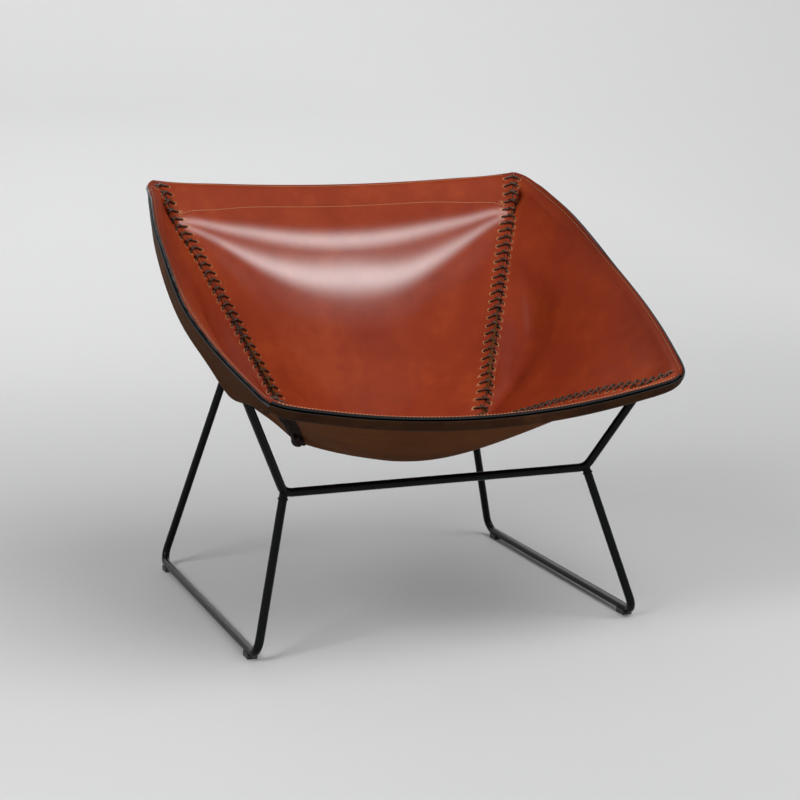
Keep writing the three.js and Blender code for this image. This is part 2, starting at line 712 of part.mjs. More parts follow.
// Zigzag over the seam between two distances along it.
function laceLine(from, to, sidePanel, sideRow) {
  const turns = 2 * Math.floor((to - from) / LACE_PITCH);
  const line = [];
  for (let k = 0; k <= turns; k += 1) {
    const row = rowAtRun(from + ((to - from) * k) / turns);
    const below = Math.min(Math.floor(row), seamLine.length - 2);
    const tangent = heading(seamLine[below], seamLine[below + 1]);
    const end = k % 2 === 0
      ? stitchEnd(fromSeam.seat, row, tangent)
      : stitchEnd(sidePanel, sideRow(row), tangent);
    line.push(along(end, tangent, -LACE_TURN / 2), along(end, tangent, LACE_TURN / 2));
    if (k < turns) line.push(overSeam(rowAtRun(from + ((to - from) * (k + 0.5)) / turns)));
  }
  return line;
}

// Least gap between runs of a cord that are not neighbours, measured on points along it.
function leastGap(line, diameter) {
  const samples = 4;
  const neighbours = 4;
  const points = [];
  for (let i = 0; i + 1 < line.length; i += 1) {
    for (let k = 0; k < samples; k += 1) points.push({ p: mix(line[i], line[i + 1], k / samples), run: i });
  }
  let least = Infinity;
  points.forEach((a, m) => points.slice(m + 1).forEach((b) => {
    if (b.run - a.run > neighbours) least = Math.min(least, a.p.distanceTo(b.p));
  }));
  return least - diameter;
}

const tipRun = seamRuns[tipRow];
const seamLength = seamRuns[seamRuns.length - 1];
const rearLaceLine = laceLine(LACE_START, tipRun - LACE_TIP_INSET, fromSeam.rearSide, (row) => row);
const frontLaceLine = laceLine(
  tipRun + LACE_TIP_INSET, seamLength - LACE_START, fromSeam.foreSide, (row) => seamLine.length - 1 - row);
const rearLace = tube(rearLaceLine, LACE_DIAMETER, LACE_SIDES);
const frontLace = tube(frontLaceLine, LACE_DIAMETER, LACE_SIDES);
console.log(`rear lace: least gap to itself ${leastGap(rearLaceLine, LACE_DIAMETER).toFixed(2)} mm`);
console.log(`front lace: least gap to itself ${leastGap(frontLaceLine, LACE_DIAMETER).toFixed(2)} mm`);

// Knot where the laces end, against the outside of the tip.
const knotDepth = LEATHER_THICKNESS / 2 + LEATHER_CLEARANCE + KNOT_DIAMETER / 2;
const knot = new THREE.SphereGeometry(KNOT_DIAMETER / 2, KNOT_SEGMENTS, KNOT_RINGS);
const knotPlace = along(tip, seamNormals[tipRow], -knotDepth);
knot.translate(knotPlace.x, knotPlace.y, knotPlace.z);

// Sewing thread: stitch lines on the inner faces

const threadLift = SHEET_OFFSET + LEATHER_THICKNESS / 2 + THREAD_CLEARANCE + THREAD_DIAMETER / 2;

function stitchLine(frames, a) {
  return tube(frames.map((frame) => beside(frame, a, threadLift)), THREAD_DIAMETER, THREAD_SIDES);
}

const edgeThread = (frames) => stitchLine(frames, FLANGE - THREAD_EDGE_INSET);
const hemThread = (frames) => stitchLine(frames, THREAD_HEM_INSET - HEM_REACH);

const backEdgeThread = edgeThread(mirrorFrames(rim.slice(0, BACK_SEAM)));
const backHemThread = hemThread(mirrorFrames(rim.slice(0, RAIL_HALF_STEPS)));
const frontEdgeThread = edgeThread(mirrorFrames(rim.slice(FRONT_SEAM + 1).reverse()));
const rightEdgeThread = edgeThread(rim.slice(BACK_SEAM + 1, FRONT_SEAM));

// Assembly

function finish(kind) {
  return new THREE.MeshStandardMaterial({
    color: COLOURS[kind],
    roughness: ROUGHNESS[kind],
    metalness: METALNESS[kind] ?? 0,
  });
}

const chair = new THREE.Group();

function add(name, geometry, kind) {
  geometry.computeVertexNormals();
  const mesh = new THREE.Mesh(geometry, finish(kind));
  mesh.name = name;
  chair.add(mesh);
}

function addPair(name, right, kind) {
  add(`left_${name}`, mirrored(right), kind);
  add(`right_${name}`, right, kind);
}

add('rim_ring', rimRing, 'frame');
add('front_u_rod', frontRod, 'frame');
add('rear_u_rod', rearRod, 'frame');
addPair('sled_leg', rightLeg, 'frame');
addPair('front_glide', frontGlide, 'glide');
addPair('rear_glide', rearGlide, 'glide');
add('centre_panel', sheet(seatFull, seatNormals), 'leather');
addPair('side_panel', sheet(sideColumns, sideNormals), 'leather');
add('back_sleeve_strip', backStrip, 'strip');
add('front_sleeve_strip', frontStrip, 'strip');
addPair('sleeve_strip', rightStrip, 'strip');
addPair('rear_lace', rearLace, 'lace');
addPair('front_lace', frontLace, 'lace');
addPair('lace_knot', knot, 'lace');
add('back_edge_thread', backEdgeThread, 'thread');
add('back_hem_thread', backHemThread, 'thread');
add('front_edge_thread', frontEdgeThread, 'thread');
addPair('edge_thread', rightEdgeThread, 'thread');

// The origin is on the floor under the middle of the whole chair.
const box = new THREE.Box3().setFromObject(chair);
chair.position.y = -(box.min.y + box.max.y) / 2;

export default chair;
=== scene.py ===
import math

import bmesh
import bpy
import numpy as np
from bpy.props import FloatProperty, FloatVectorProperty, PointerProperty
from bpy.types import Operator, Panel, PropertyGroup
from mathutils import Matrix, Vector


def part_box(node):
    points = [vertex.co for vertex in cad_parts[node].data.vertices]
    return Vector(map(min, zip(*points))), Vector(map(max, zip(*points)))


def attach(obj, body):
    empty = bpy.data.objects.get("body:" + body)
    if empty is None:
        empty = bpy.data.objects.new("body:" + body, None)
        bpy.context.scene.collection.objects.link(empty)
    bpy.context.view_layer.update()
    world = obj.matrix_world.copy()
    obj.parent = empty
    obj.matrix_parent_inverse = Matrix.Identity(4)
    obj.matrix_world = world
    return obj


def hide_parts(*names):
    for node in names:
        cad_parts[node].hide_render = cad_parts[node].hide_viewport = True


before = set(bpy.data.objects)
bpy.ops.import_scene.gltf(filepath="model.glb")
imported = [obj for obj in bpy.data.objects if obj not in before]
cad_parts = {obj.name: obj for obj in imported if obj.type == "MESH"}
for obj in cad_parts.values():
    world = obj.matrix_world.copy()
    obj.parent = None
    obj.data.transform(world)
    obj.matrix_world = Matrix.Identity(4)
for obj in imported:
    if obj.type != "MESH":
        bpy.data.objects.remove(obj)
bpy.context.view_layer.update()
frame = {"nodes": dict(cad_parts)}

bl_info = {
    "name": "Leather Sling Lounge Chair",
    "version": (1, 0, 0),
    "blender": (4, 5, 0),
    "location": "View3D > Sidebar > Sling Chair",
    "description": "Dresses the chair's frame with laced saddle leather and painted steel tube",
    "category": "Object",
}

BODY = "root"

# The frame is centred front to back on its four glides, and all depths below count from there.
GLIDE_BOXES = [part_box(f"{side}_{end}_glide") for side in ("left", "right") for end in ("front", "rear")]
CENTRE_Y = sum((low.y + high.y) / 2 for low, high in GLIDE_BOXES) / len(GLIDE_BOXES)

# Steps of the coarse net that the leather is drawn on
RAIL_HALF_STEPS = 5
CORNER_HALF_STEPS = 3
SIDE_STEPS = 8
SEAM_STEPS = 7
BACK_SEAM = RAIL_HALF_STEPS + CORNER_HALF_STEPS
FRONT_SEAM = BACK_SEAM + 2 * SEAM_STEPS
LAST = FRONT_SEAM + BACK_SEAM
BAND_ROWS = 3
TIP_ROW = BAND_ROWS - 1 + SEAM_STEPS
LAST_ROW = 2 * TIP_ROW

# How far a rail stops short of a corner, in corner radii, and a curve's handle as a share of its chord
BEND_EASE = 1.6
HANDLE = 0.36

# Steps of the fine grids: down the rows, across beside a seam and farther in, and the margin beside a seam
ROW_STEP = 0.003
FINE_STEP = 0.0014
SEAT_STEP = 0.008
SIDE_STEP = 0.005
SEAM_MARGIN = 0.0245

# Columns beside a seam that the lacing is placed on, and those that make room for the seam's gap
NEAR_COLUMNS = 40
GAP_COLUMNS = 14

# The gap's share at the rim, how far down it widens, and the most that the columns are squeezed, as a share
RIM_GAP, GAP_WIDENS, MOST_SQUEEZE = 0.3, 0.03, 0.3

# Rows of a sleeve's fine grid: the first, those round a line of thread, those past it and those by the tube
EDGE_ROW = 0.0008
THREAD_ROWS = np.array([-2.4, -1.4, -0.7, 0.0, 0.7, 1.4, 2.4]) * 1e-3
FLANGE_ROWS = (0.004, 0.006, 0.008)
TUBE_ROWS, TUBE_ROWS_START, TUBE_ROWS_END = 9, 0.0025, 0.004

# Coarse steps past a back seam at which the corner's tuck, its flange and the side's rise have faded
TUCK_AHEAD = 7.0
TUCK_BEHIND = 6.0
CORNER_FADE = 3.0
RISE_FADE = (4.4, 7.0)

# Powers of the curves by which the hem turns down to the corners and the cut edge bends over the tube
HEM_POWER = 3.5
EDGE_POWER = 1.7

# Dips that the thread pulls into the leather, as depth and width, and where across the hem's one fades
EDGE_DIP = (0.00045, 0.0009)
HEM_DIP = (0.0005, 0.0010)
HEM_DIP_FADE = (0.36, 0.46)

# Distances below the hem between which the lower back swells, over the least share of the fall
SWELL_RISE = (0.165, 0.295)
SWELL_FALL = (0.30, 0.45)
LEAST_FALL = 0.04

# Shares of a side along which its edge turns from the corner's bend, and from standing up to bending over
CORNER_TURN = (0.0, 0.09)
SIDE_TURN = (0.30, 0.62)

# The smooth turn under a side's sleeve: from past the flange to past the hem, and its fade beside a seam
TURN_START = 0.009
TURN_END = 0.085
TURN_FADE = 0.07

# The fold beside a back corner: its distance from the seam high and low, and its spans across and down
FOLD_PLACES = (0.018, 0.009)
FOLD_SLANT = (0.035, 0.085)
FOLD_RISE = (0.0, 0.006)
FOLD_FALL = (0.008, 0.034)
FOLD_TOP = (0.019, 0.029)
FOLD_END = (0.048, 0.086)

# The soft crease in a side panel, as shares: its place along the rim, its width and how that grows, its spans
VALLEY_PLACE = 0.26
VALLEY_WIDTH = 0.12
VALLEY_GROWTH = 0.08
VALLEY_TOP = (0.12, 0.52)
VALLEY_END = (0.70, 1.0)

# Half of the distance over which the direction of a seam is measured
SEAM_AHEAD = 0.004

# Rounding of the cut edges, and the least angle that is rounded, in degrees
PANEL_BEVEL = 0.0006
STRIP_BEVEL = 0.0005
BEVEL_ANGLE = 55.0

# Points along the half ring, and a weld's distance from its joint and its own radius, in tube radii
RING_POINTS = 150
WELD_PLACE = 1.35
WELD_FIT = 0.98

# Facets of a weld's bead, round the bead and round the tube
BEAD_FACETS = 8
WELD_STEPS = 36

# A glide's gap beside the tube, its base with the gap over it, and flat and sharp angles in degrees
GLIDE_GAP = 0.0003
GLIDE_BASE = 0.0043
FLAT_ANGLE = 2.0
SHARP_ANGLE = 40.0

# A lace hole: its depth, its raised rim's height and its pale rim, each with place and spread in hole radii
HOLE_DEPTH, HOLE_SPREAD = 0.0016, 0.8
RIM_HEIGHT, RIM_PLACE, RIM_SPREAD = 0.0003, 1.7, 0.6
PALE_PLACE, PALE_SPREAD = 1.1, 0.55

# Darker leather along edges and seams: how much, and how far in; a side's share counts as half a metre
# The side panels' wider band is painted shade, where the edge bends over the tube away from the light.
EDGE_DARK, SEAT_EDGE_REACH, SIDE_EDGE_SHADE_REACH = 0.62, 0.006, 0.017
SEAM_DARK, SEAM_REACH = 0.22, 0.010
SIDE_SPAN = 0.5

# The side panels' painted shade toward the front: where it begins, and how much on each side
SIDE_SHADE_SPAN = (0.10, 0.36)
SIDE_SHADE_TONES = {"right": 0.14, "left": 0.0}

# How much higher the second arm of a crossed stitch lies, in lace diameters
SECOND_LIFT = 0.55

# Sewn stitches: each line's free ends, how far they stand out in thread diameters, a step ahead, and facets
FREE_ENDS = {
    "back_edge": (0.024, 0.024),
    "back_hem": (0.020, 0.020),
    "front_edge": (0.010, 0.010),
    "side_edge": (0.020, 0.014),
}
THREAD_STANDS = 0.15
THREAD_AHEAD = 0.002
STITCH_FACETS = 6

# The sky's colour, and its strength as light and as seen
SKY = (0.95, 0.97, 1.0, 1.0)
SKY_LIGHT = 0.22
SKY_SEEN = 0.58

# Half the floor's width and depth, its back edge, the wall behind it and the cove between them
FLOOR_HALF = (9.0, 6.0)
FLOOR_BACK = 4.0
WALL_HEIGHT = 6.0
COVE_RADIUS = 1.5
COVE_STEPS = 24

# The large soft lamp that the back reflects: its aim, distance, degrees right and up, size and watts
BACK_CENTRE = Vector((0.0, 0.28, 0.60))
SOFT_LAMP = {"distance": 3.0, "turn": 30.0, "rise": 48.5, "size": (2.7, 2.3), "power": 70.0}

# The other lamps: place, aim, size and watts
LAMPS = {
    "left_front": ((-2.3, -1.2, 2.3), (0.0, 0.0, 0.5), (1.2, 1.2), 46.0),
    "overhead": ((0.0, 0.1, 3.0), (0.0, 0.1, 0.4), (2.4, 2.4), 6.0),
    "back": ((0.0, 3.2, 2.0), (0.0, 0.2, 0.4), (2.6, 1.2), 22.0),
}

# Gloss of the leather where nothing rubs it
SIDE_POLISH = 0.008

# The upper back's two glossy crescents: how far each hangs below the hem, and the power of its curve
UPPER_HANG, UPPER_POWER = 0.0595, 2.4
LOWER_HANG, LOWER_POWER = 0.128, 2.8

# How much lower the second one hangs on the right, and where across, with its spread
LOWER_DIP, DIP_PLACE, DIP_SPREAD = 0.006, 0.35, 0.22

# The crescents' strength and width, and how both fade toward the corners
UPPER_GLOSS = {"strength": 0.76, "fade": 0.62, "width": 0.0140, "narrowing": 0.5, "power": 2}
LOWER_GLOSS = {"strength": 1.0, "fade": 0.80, "width": 0.028, "narrowing": 0.75, "power": 1.2}

# The faint gloss under the lower crescent, with its distance and width, and the one between the two
TAIL_GLOSS, TAIL_BELOW, TAIL_WIDTH = 0.06, 0.050, 0.030
BETWEEN_GLOSS, BETWEEN_RISE, BETWEEN_FALL = 0.12, 0.015, 0.020

# The wound end of a lace near a side panel's tip: its ends along the seam and the distance between turns
KNOT_ENDS = (0.036, 0.094)
KNOT_PITCH = 0.0041

# The winding's radius, its swell in the middle and that swell's length, and how far it stands off, in radii
KNOT_RADIUS = 0.0062
KNOT_SWELL, KNOT_SWELL_LENGTH = 0.0045, 0.018
KNOT_STANDS = 0.7
KNOT_POINTS = 260
CORE_EVERY = 20

# A sleeve strip's width where it rounds a corner as a welt, as a share, and the length of that change
WELT_SHARE = 0.40
WELT_EASE = 0.020

# A strip's gap to the tube and to a seam, its wrap round the tube in degrees, and its points across and along
STRIP_CLEARANCE = 0.0007
STRIP_GAP = 0.0005
WRAP_ANGLES = (-32, -52, -75, -100, -127)
STRIP_POINTS = 33
END_POINTS = 90
SIDE_POINTS = 190

# Across a strip: where it bends behind the edge and how far off, and where its tail turns in and how far
BEND_SHARE, BEND_SHIFT = 0.45, np.array([0.0003, -0.0006])
TAIL_SHARE, TAIL_SHIFT = 0.6, 0.0008

# Shares of a pouch by which a strip's wrap goes out, its tail goes down, and the tail's turn and end go out
POUCH_OUT, POUCH_DOWN, POUCH_TURN, POUCH_END = 0.35, 0.6, 0.5, 0.4

# The part of a strip's width, as shares, that follows the panel's lower end
STRIP_LOW = (0.62, 0.95)

# Shares of a side along which its strip hangs slack, stands past the edge, hangs in a pouch and darkens with
# painted shade
SLACK_RISE, SLACK_FALL = (0.30, 0.65), (0.86, 0.96)
LIP_RISE, LIP_FALL = (0.02, 0.10), (0.38, 0.62)
POUCH_PLACE, POUCH_SPREAD = 0.87, 0.085
STRIP_SHADE_SPAN = (0.35, 0.80)

FLIP = np.array([-1.0, 1.0, 1.0])
UP = np.array([0.0, 0.0, 1.0])

# What is worked out on the right is turned over for the left.
BOTH_SIDES = (("right", 1.0), ("left", FLIP))


def length(name, default, description):
    return FloatProperty(name=name, default=default, description=description, unit="LENGTH", precision=4)


def share(name, default, description):
    return FloatProperty(
        name=name, default=default, description=description, min=0.0, max=1.0, subtype="FACTOR")


def degrees(name, default, description):
    return FloatProperty(name=name, default=math.radians(default), description=description, subtype="ANGLE")


def colour(name, default, description):
    return FloatVectorProperty(
        name=name, default=default, description=description, subtype="COLOR", size=3, min=0.0, max=1.0)


class TubeSizes(PropertyGroup):
    """Sizes of the steel tube frame under the ring."""

    diameter: length("Tube diameter", 0.015, "Outside diameter of the steel tube")
    runner_spread: length("Runner spread", 0.694, "Distance between the two floor runners")
    runner_length: length("Runner length", 0.642, "Length of a runner between its sharp bends")
    foot_bend: length("Foot bend", 0.022, "Radius of the bends at the floor")
    stretcher_span: length("Stretcher span", 0.556, "Length of the front stretcher")
    stretcher_height: length("Stretcher height", 0.267, "Height of the front stretcher")
    stretcher_setback: length("Stretcher setback", 0.064, "Stretcher's distance behind the front bends")
    stretcher_bend: length("Stretcher bend", 0.022, "Radius of the front rod's bends")
    rear_bar_span: length("Rear bar span", 0.480, "Length of the rear bar")
    rear_bar_height: length("Rear bar height", 0.403, "Height of the rear bar")
    rear_bar_setback: length("Rear bar setback", 0.107, "Rear bar's distance ahead of the back bends")
    rear_bar_bend: length("Rear bar bend", 0.030, "Radius of the rear rod's bends")
    front_rod_setback: length("Front rod setback", 0.100, "Where the front rod meets the ring's side")
    weld_bead: length("Weld bead", 0.0019, "Radius of the bead of weld round a tube's end")
    glide_wall: length("Glide wall", 0.0009, "Thickness of a glide's sides")
    glide_grip: length("Glide grip", 0.0046, "How far a glide's sides reach up beside the tube")
    glide_bevel: length("Glide bevel", 0.0008, "Rounding of a glide's edges")


class RingSizes(PropertyGroup):
    """Sizes of the rim ring, on the tube's centre line, with its corners taken as sharp."""

    back_width: length("Back width", 0.716, "Width across the back corners")
    front_width: length("Front width", 0.714, "Width across the front corners")
    depth: length("Depth", 0.694, "Depth from the back corners to the front corners")
    back_y: length("Back place", 0.250, "Back corners' distance behind the middle of the runners")
    back_height: length("Back height", 0.737, "Height of the back corners")
    front_height: length("Front height", 0.447, "Height of the front corners")
    side_bow: length("Side bow", 0.052, "How far a side rail bows outward")
    side_drop: length("Side drop", 0.010, "How far a side rail sags")
    back_bow: length("Back bow", 0.023, "How far the back rail bows backward")
    back_sag: length("Back sag", 0.016, "How far the back rail sags")
    front_bow: length("Front bow", 0.008, "How far the front rail bows forward")
    front_sag: length("Front sag", 0.045, "How far the front rail sags")
    back_corner: length("Back corner", 0.060, "Radius of the back corners")
    front_corner: length("Front corner", 0.050, "Radius of the front corners")


class LeatherSizes(PropertyGroup):
    """Sizes of the leather panels and the strips that close their sleeves."""

    thickness: length("Panel thickness", 0.004, "Thickness of the saddle leather")
    strip_thickness: length("Strip thickness", 0.003, "Thickness of the sleeve strips")
    clearance: length("Clearance", 0.0003, "Gap between the leather and the tube")
    flange: length("Flange", 0.014, "How far the leather stands past the tube")
    corner_flange: length("Corner flange", 0.030, "The same at the back corners")
    side_rise: length("Side rise", 0.012, "How much farther the upper side edges stand past the tube")
    side_lift: length("Side lift", 0.002, "How far the upper half of a side edge stands up instead")
    lip: length("Lip", 0.0026, "How far the side strips stand past the panel's edge")
    pouch: length("Pouch", 0.016, "How much lower a side strip hangs near its front corner")
    side_slack: length("Side slack", 0.0075, "How far the side strips hang off the tube")
    back_drop: length("Back edge drop", 0.0025, "How far the back edge bends over the tube")
    corner_drop: length("Corner drop", 0.0045, "How far the edge bends over the tube at a corner")
    side_drop: length("Side edge drop", 0.0080, "How far a side edge bends over the tube")
    front_drop: length("Front edge drop", 0.0045, "How far the front edge bends over the tube")
    hem_width: length("Hem width", 0.052, "From the cut edge to the sleeve's inner seam")
    seam_gap: length("Seam gap", 0.0016, "Gap between two laced panels")
    seam_bow: length("Seam bow", 0.009, "How far a seam bows inward")
    tip_spread: length("Tip spread", 0.360, "Distance between the tips of the side panels")
    tip_y: length("Tip place", -0.028, "Tips' place front to back")
    tip_height: length("Tip height", 0.305, "Height of the tips")
    seat_y: length("Seat place", -0.056, "Lowest point of the seat, front to back")
    seat_height: length("Seat height", 0.271, "Height of the lowest point of the seat")
    backrest: degrees("Backrest angle", 63.0, "Slope of the leather at the back rail")
    seat_front: degrees("Seat front angle", 30.0, "Slope of the leather at the front rail")
    side_sag: length("Side sag", 0.016, "How far a side panel sags")
    lean_height: length("Lean height", 0.470, "Height that the back corners lean out from")
    side_upright: share("Side upright", 0.6, "How upright the leather stands at the sides")
    corner_fold: length("Corner fold", 0.014, "Depth of the fold beside a back corner's seam")
    corner_shear: share("Corner shear", 0.31, "How far a back corner's seam slants along the ring")
    corner_tuck: share("Corner tuck", 0.42, "How far that seam falls away under the ring")
    corner_hem: share("Corner hem", 0.60, "How much lower the hem's thread runs at the back corners")
    back_swell: length("Back swell", 0.0030, "How far the lower back comes forward of a straight fall")
    side_valley: length("Side valley", 0.030, "Depth of the soft crease in a side panel")


class LacingSizes(PropertyGroup):
    """Sizes of the laces and of the sewing thread."""

    lace: length("Lace diameter", 0.0038, "Diameter of the leather lace")
    pitch: length("Stitch pitch", 0.0175, "Distance between crossed stitches")
    reach: length("Stitch reach", 0.0170, "Distance of the holes from the seam")
    side_reach: length("Side reach", 0.0118, "Distance of the side panels' holes from the seam")
    rise: length("Stitch rise", 0.0042, "How far a stitch slopes along the seam")
    start: length("Lace start", 0.0225, "First stitch's distance from the rim edge")
    tip_inset: length("Tip inset", 0.016, "Last stitch's distance from the tip")
    hole: length("Hole radius", 0.0019, "Radius of a punched lace hole")
    thread: length("Thread diameter", 0.0015, "Diameter of the sewing thread")
    stitch: length("Sewn stitch", 0.0043, "Length of one sewn stitch")
    stitch_pitch: length("Sewn pitch", 0.0060, "Distance between sewn stitches")
    edge_inset: length("Edge inset", 0.004, "Edge stitching's distance from the cut edge")
    hem_inset: length("Hem inset", 0.005, "Hem stitching's distance from the sleeve's end")


class Finishes(PropertyGroup):
    """Colours of the chair and of the stage."""

    leather_light: colour("Leather, light", (0.370, 0.066, 0.016), "Where the saddle leather is rubbed pale")
    leather_mid: colour("Leather", (0.275, 0.038, 0.010), "Saddle leather")
    leather_dark: colour("Leather, dark", (0.185, 0.021, 0.008), "Where the saddle leather took more dye")
    suede: colour("Leather back", (0.132, 0.044, 0.012), "Flesh side of the saddle leather")
    edge: colour("Edge paint", (0.018, 0.020, 0.021), "Paint on the cut edges")
    strip: colour("Strip", (0.076, 0.030, 0.012), "Sleeve strips")
    lace: colour("Lace", (0.042, 0.018, 0.009), "Lace")
    lace_worn: colour("Lace, worn", (0.150, 0.075, 0.038), "Where the lace is rubbed")
    hole: colour("Hole rim", (0.52, 0.24, 0.10), "Raw leather round a lace hole")
    thread: colour("Thread", (0.74, 0.41, 0.18), "Sewing thread")
    frame: colour("Frame paint", (0.0030, 0.0033, 0.0035), "Paint on the steel tube")
    glide: colour("Glide", (0.018, 0.018, 0.019), "Moulded plastic")
    floor: colour("Floor", (0.62, 0.62, 0.62), "Floor and backdrop")


class StageSettings(PropertyGroup):
    """The camera's place, as solved from the photograph."""

    camera_x: length("Camera X", -1.14867, "Camera's place across")
    camera_y: length("Camera Y", -3.06732, "Camera's place front to back, from the middle of the runners")
    camera_z: length("Camera Z", 0.95950, "Camera's height")
    pitch: degrees("Pitch", 10.350, "How far the camera looks down")
    yaw: degrees("Yaw", 20.958, "How far the camera looks to the right")
    lens: FloatProperty(name="Lens", default=81.97, description="Focal length in mm, on a 36 mm sensor")


SETTINGS = {
    "chair_tube": TubeSizes,
    "chair_ring": RingSizes,
    "chair_leather": LeatherSizes,
    "chair_lacing": LacingSizes,
    "chair_finish": Finishes,
    "chair_stage": StageSettings,
}


def setting(name):
    return getattr(bpy.context.scene, f"chair_{name}")


# Geometry helpers


def unit(v):
    return v / np.linalg.norm(v, axis=-1, keepdims=True)


def mix(a, b, t):
    return a + (b - a) * t


def smooth(low, high, value):
    t = np.clip((np.asarray(value, float) - low) / (high - low), 0.0, 1.0)
    return t * t * (3.0 - 2.0 * t)


def bump(centre, width, value):
    return np.exp(-(((np.asarray(value, float) - centre) / width) ** 2))


def plateau(rise, fall, value):
    """1 between a span that rises and a span that falls, and 0 outside both."""
    return smooth(*rise, value) * (1 - smooth(*fall, value))


def runs_along(points):
    """Distance from the first point to each point of a line."""
    steps = np.linalg.norm(np.diff(points, axis=0), axis=1)
    return np.concatenate([[0.0], np.cumsum(steps)])


def along_line(run, runs, points):
    """The value at a distance along a line, from its values at its points."""
    return np.array([np.interp(run, runs, points[:, c]) for c in range(3)])


def cubic_weights(knots, places, even=False):
    """Rows of weights that carry values at the knots smoothly to the places between them.

    Even weights also keep the bend steady across the knots."""
    knots = np.asarray(knots, float)
    count = len(knots)
    slopes = np.zeros((count, count))
    for i in range(count):
        a, b = max(i - 1, 0), min(i + 1, count - 1)
        if a == i or b == i:
            slopes[i, b] += 1.0 / (knots[b] - knots[a])
            slopes[i, a] -= 1.0 / (knots[b] - knots[a])
            continue
        before, after = knots[i] - knots[a], knots[b] - knots[i]
        slopes[i, a] = -after / (before * (before + after))
        slopes[i, i] = (after - before) / (before * after)
        slopes[i, b] = before / (after * (before + after))
    if even:
        system = np.eye(count)
        for i in range(1, count - 1):
            before, after = knots[i] - knots[i - 1], knots[i + 1] - knots[i]
            system[i, i - 1:i + 2] = after, 2 * (before + after), before
            slopes[i] = 0.0
            slopes[i, i - 1] = -3 * after / before
            slopes[i, i] = 3 * (after / before - before / after)
            slopes[i, i + 1] = 3 * before / after
        slopes = np.linalg.solve(system, slopes)
    places = np.asarray(places, float)
    left = np.clip(np.searchsorted(knots, places, side="right") - 1, 0, count - 2)
    gap = knots[left + 1] - knots[left]
    t = (places - knots[left]) / gap
    weights = np.zeros((len(places), count))
    rows = np.arange(len(places))
    weights[rows, left] += 2 * t**3 - 3 * t**2 + 1
    weights[rows, left + 1] += 3 * t**2 - 2 * t**3
    weights += ((t**3 - 2 * t**2 + t) * gap)[:, None] * slopes[left]
    weights += ((t**3 - t**2) * gap)[:, None] * slopes[left + 1]
    return weights


def graded(total, fine, coarse, margin):
    """Places from 0 to total, fine within a margin of each end and coarse between."""
    inner = np.linspace(margin, total - margin, max(2, round((total - 2 * margin) / coarse) + 1))
    outer = np.arange(0.0, margin, fine)
    return np.concatenate([outer, inner, (total - outer)[::-1]])


def rounded(before, corner, after, radius, steps):
    """Points of a round bend in place of a sharp corner."""
    u, w = unit(before - corner), unit(after - corner)
    half = math.acos(float(np.clip(u @ w, -1.0, 1.0))) / 2
    reach = radius / math.tan(half)
    centre = corner + unit(u + w) * (radius / math.sin(half))
    first = corner + u * reach - centre
    axis = unit(np.cross(first, corner + w * reach - centre))
    turn = math.pi - 2 * half
    angles = [turn * k / steps for k in range(steps + 1)]
    return [first * math.cos(a) + np.cross(axis, first) * math.sin(a) + centre for a in angles]


def rod_line(corners, radius, steps=12):
    """A rod through sharp corners, each rounded to the radius."""
    line = [corners[0]]
    for i in range(1, len(corners) - 1):
        line += rounded(corners[i - 1], corners[i], corners[i + 1], radius, steps)
    return np.array(line + [corners[-1]])


def grid_normals(grid):
    across = np.gradient(grid, axis=0)
    down = np.gradient(grid, axis=1)
    normals = np.cross(across, down)
    sizes = np.linalg.norm(normals, axis=2, keepdims=True)
    return normals / np.maximum(sizes, 1e-12)


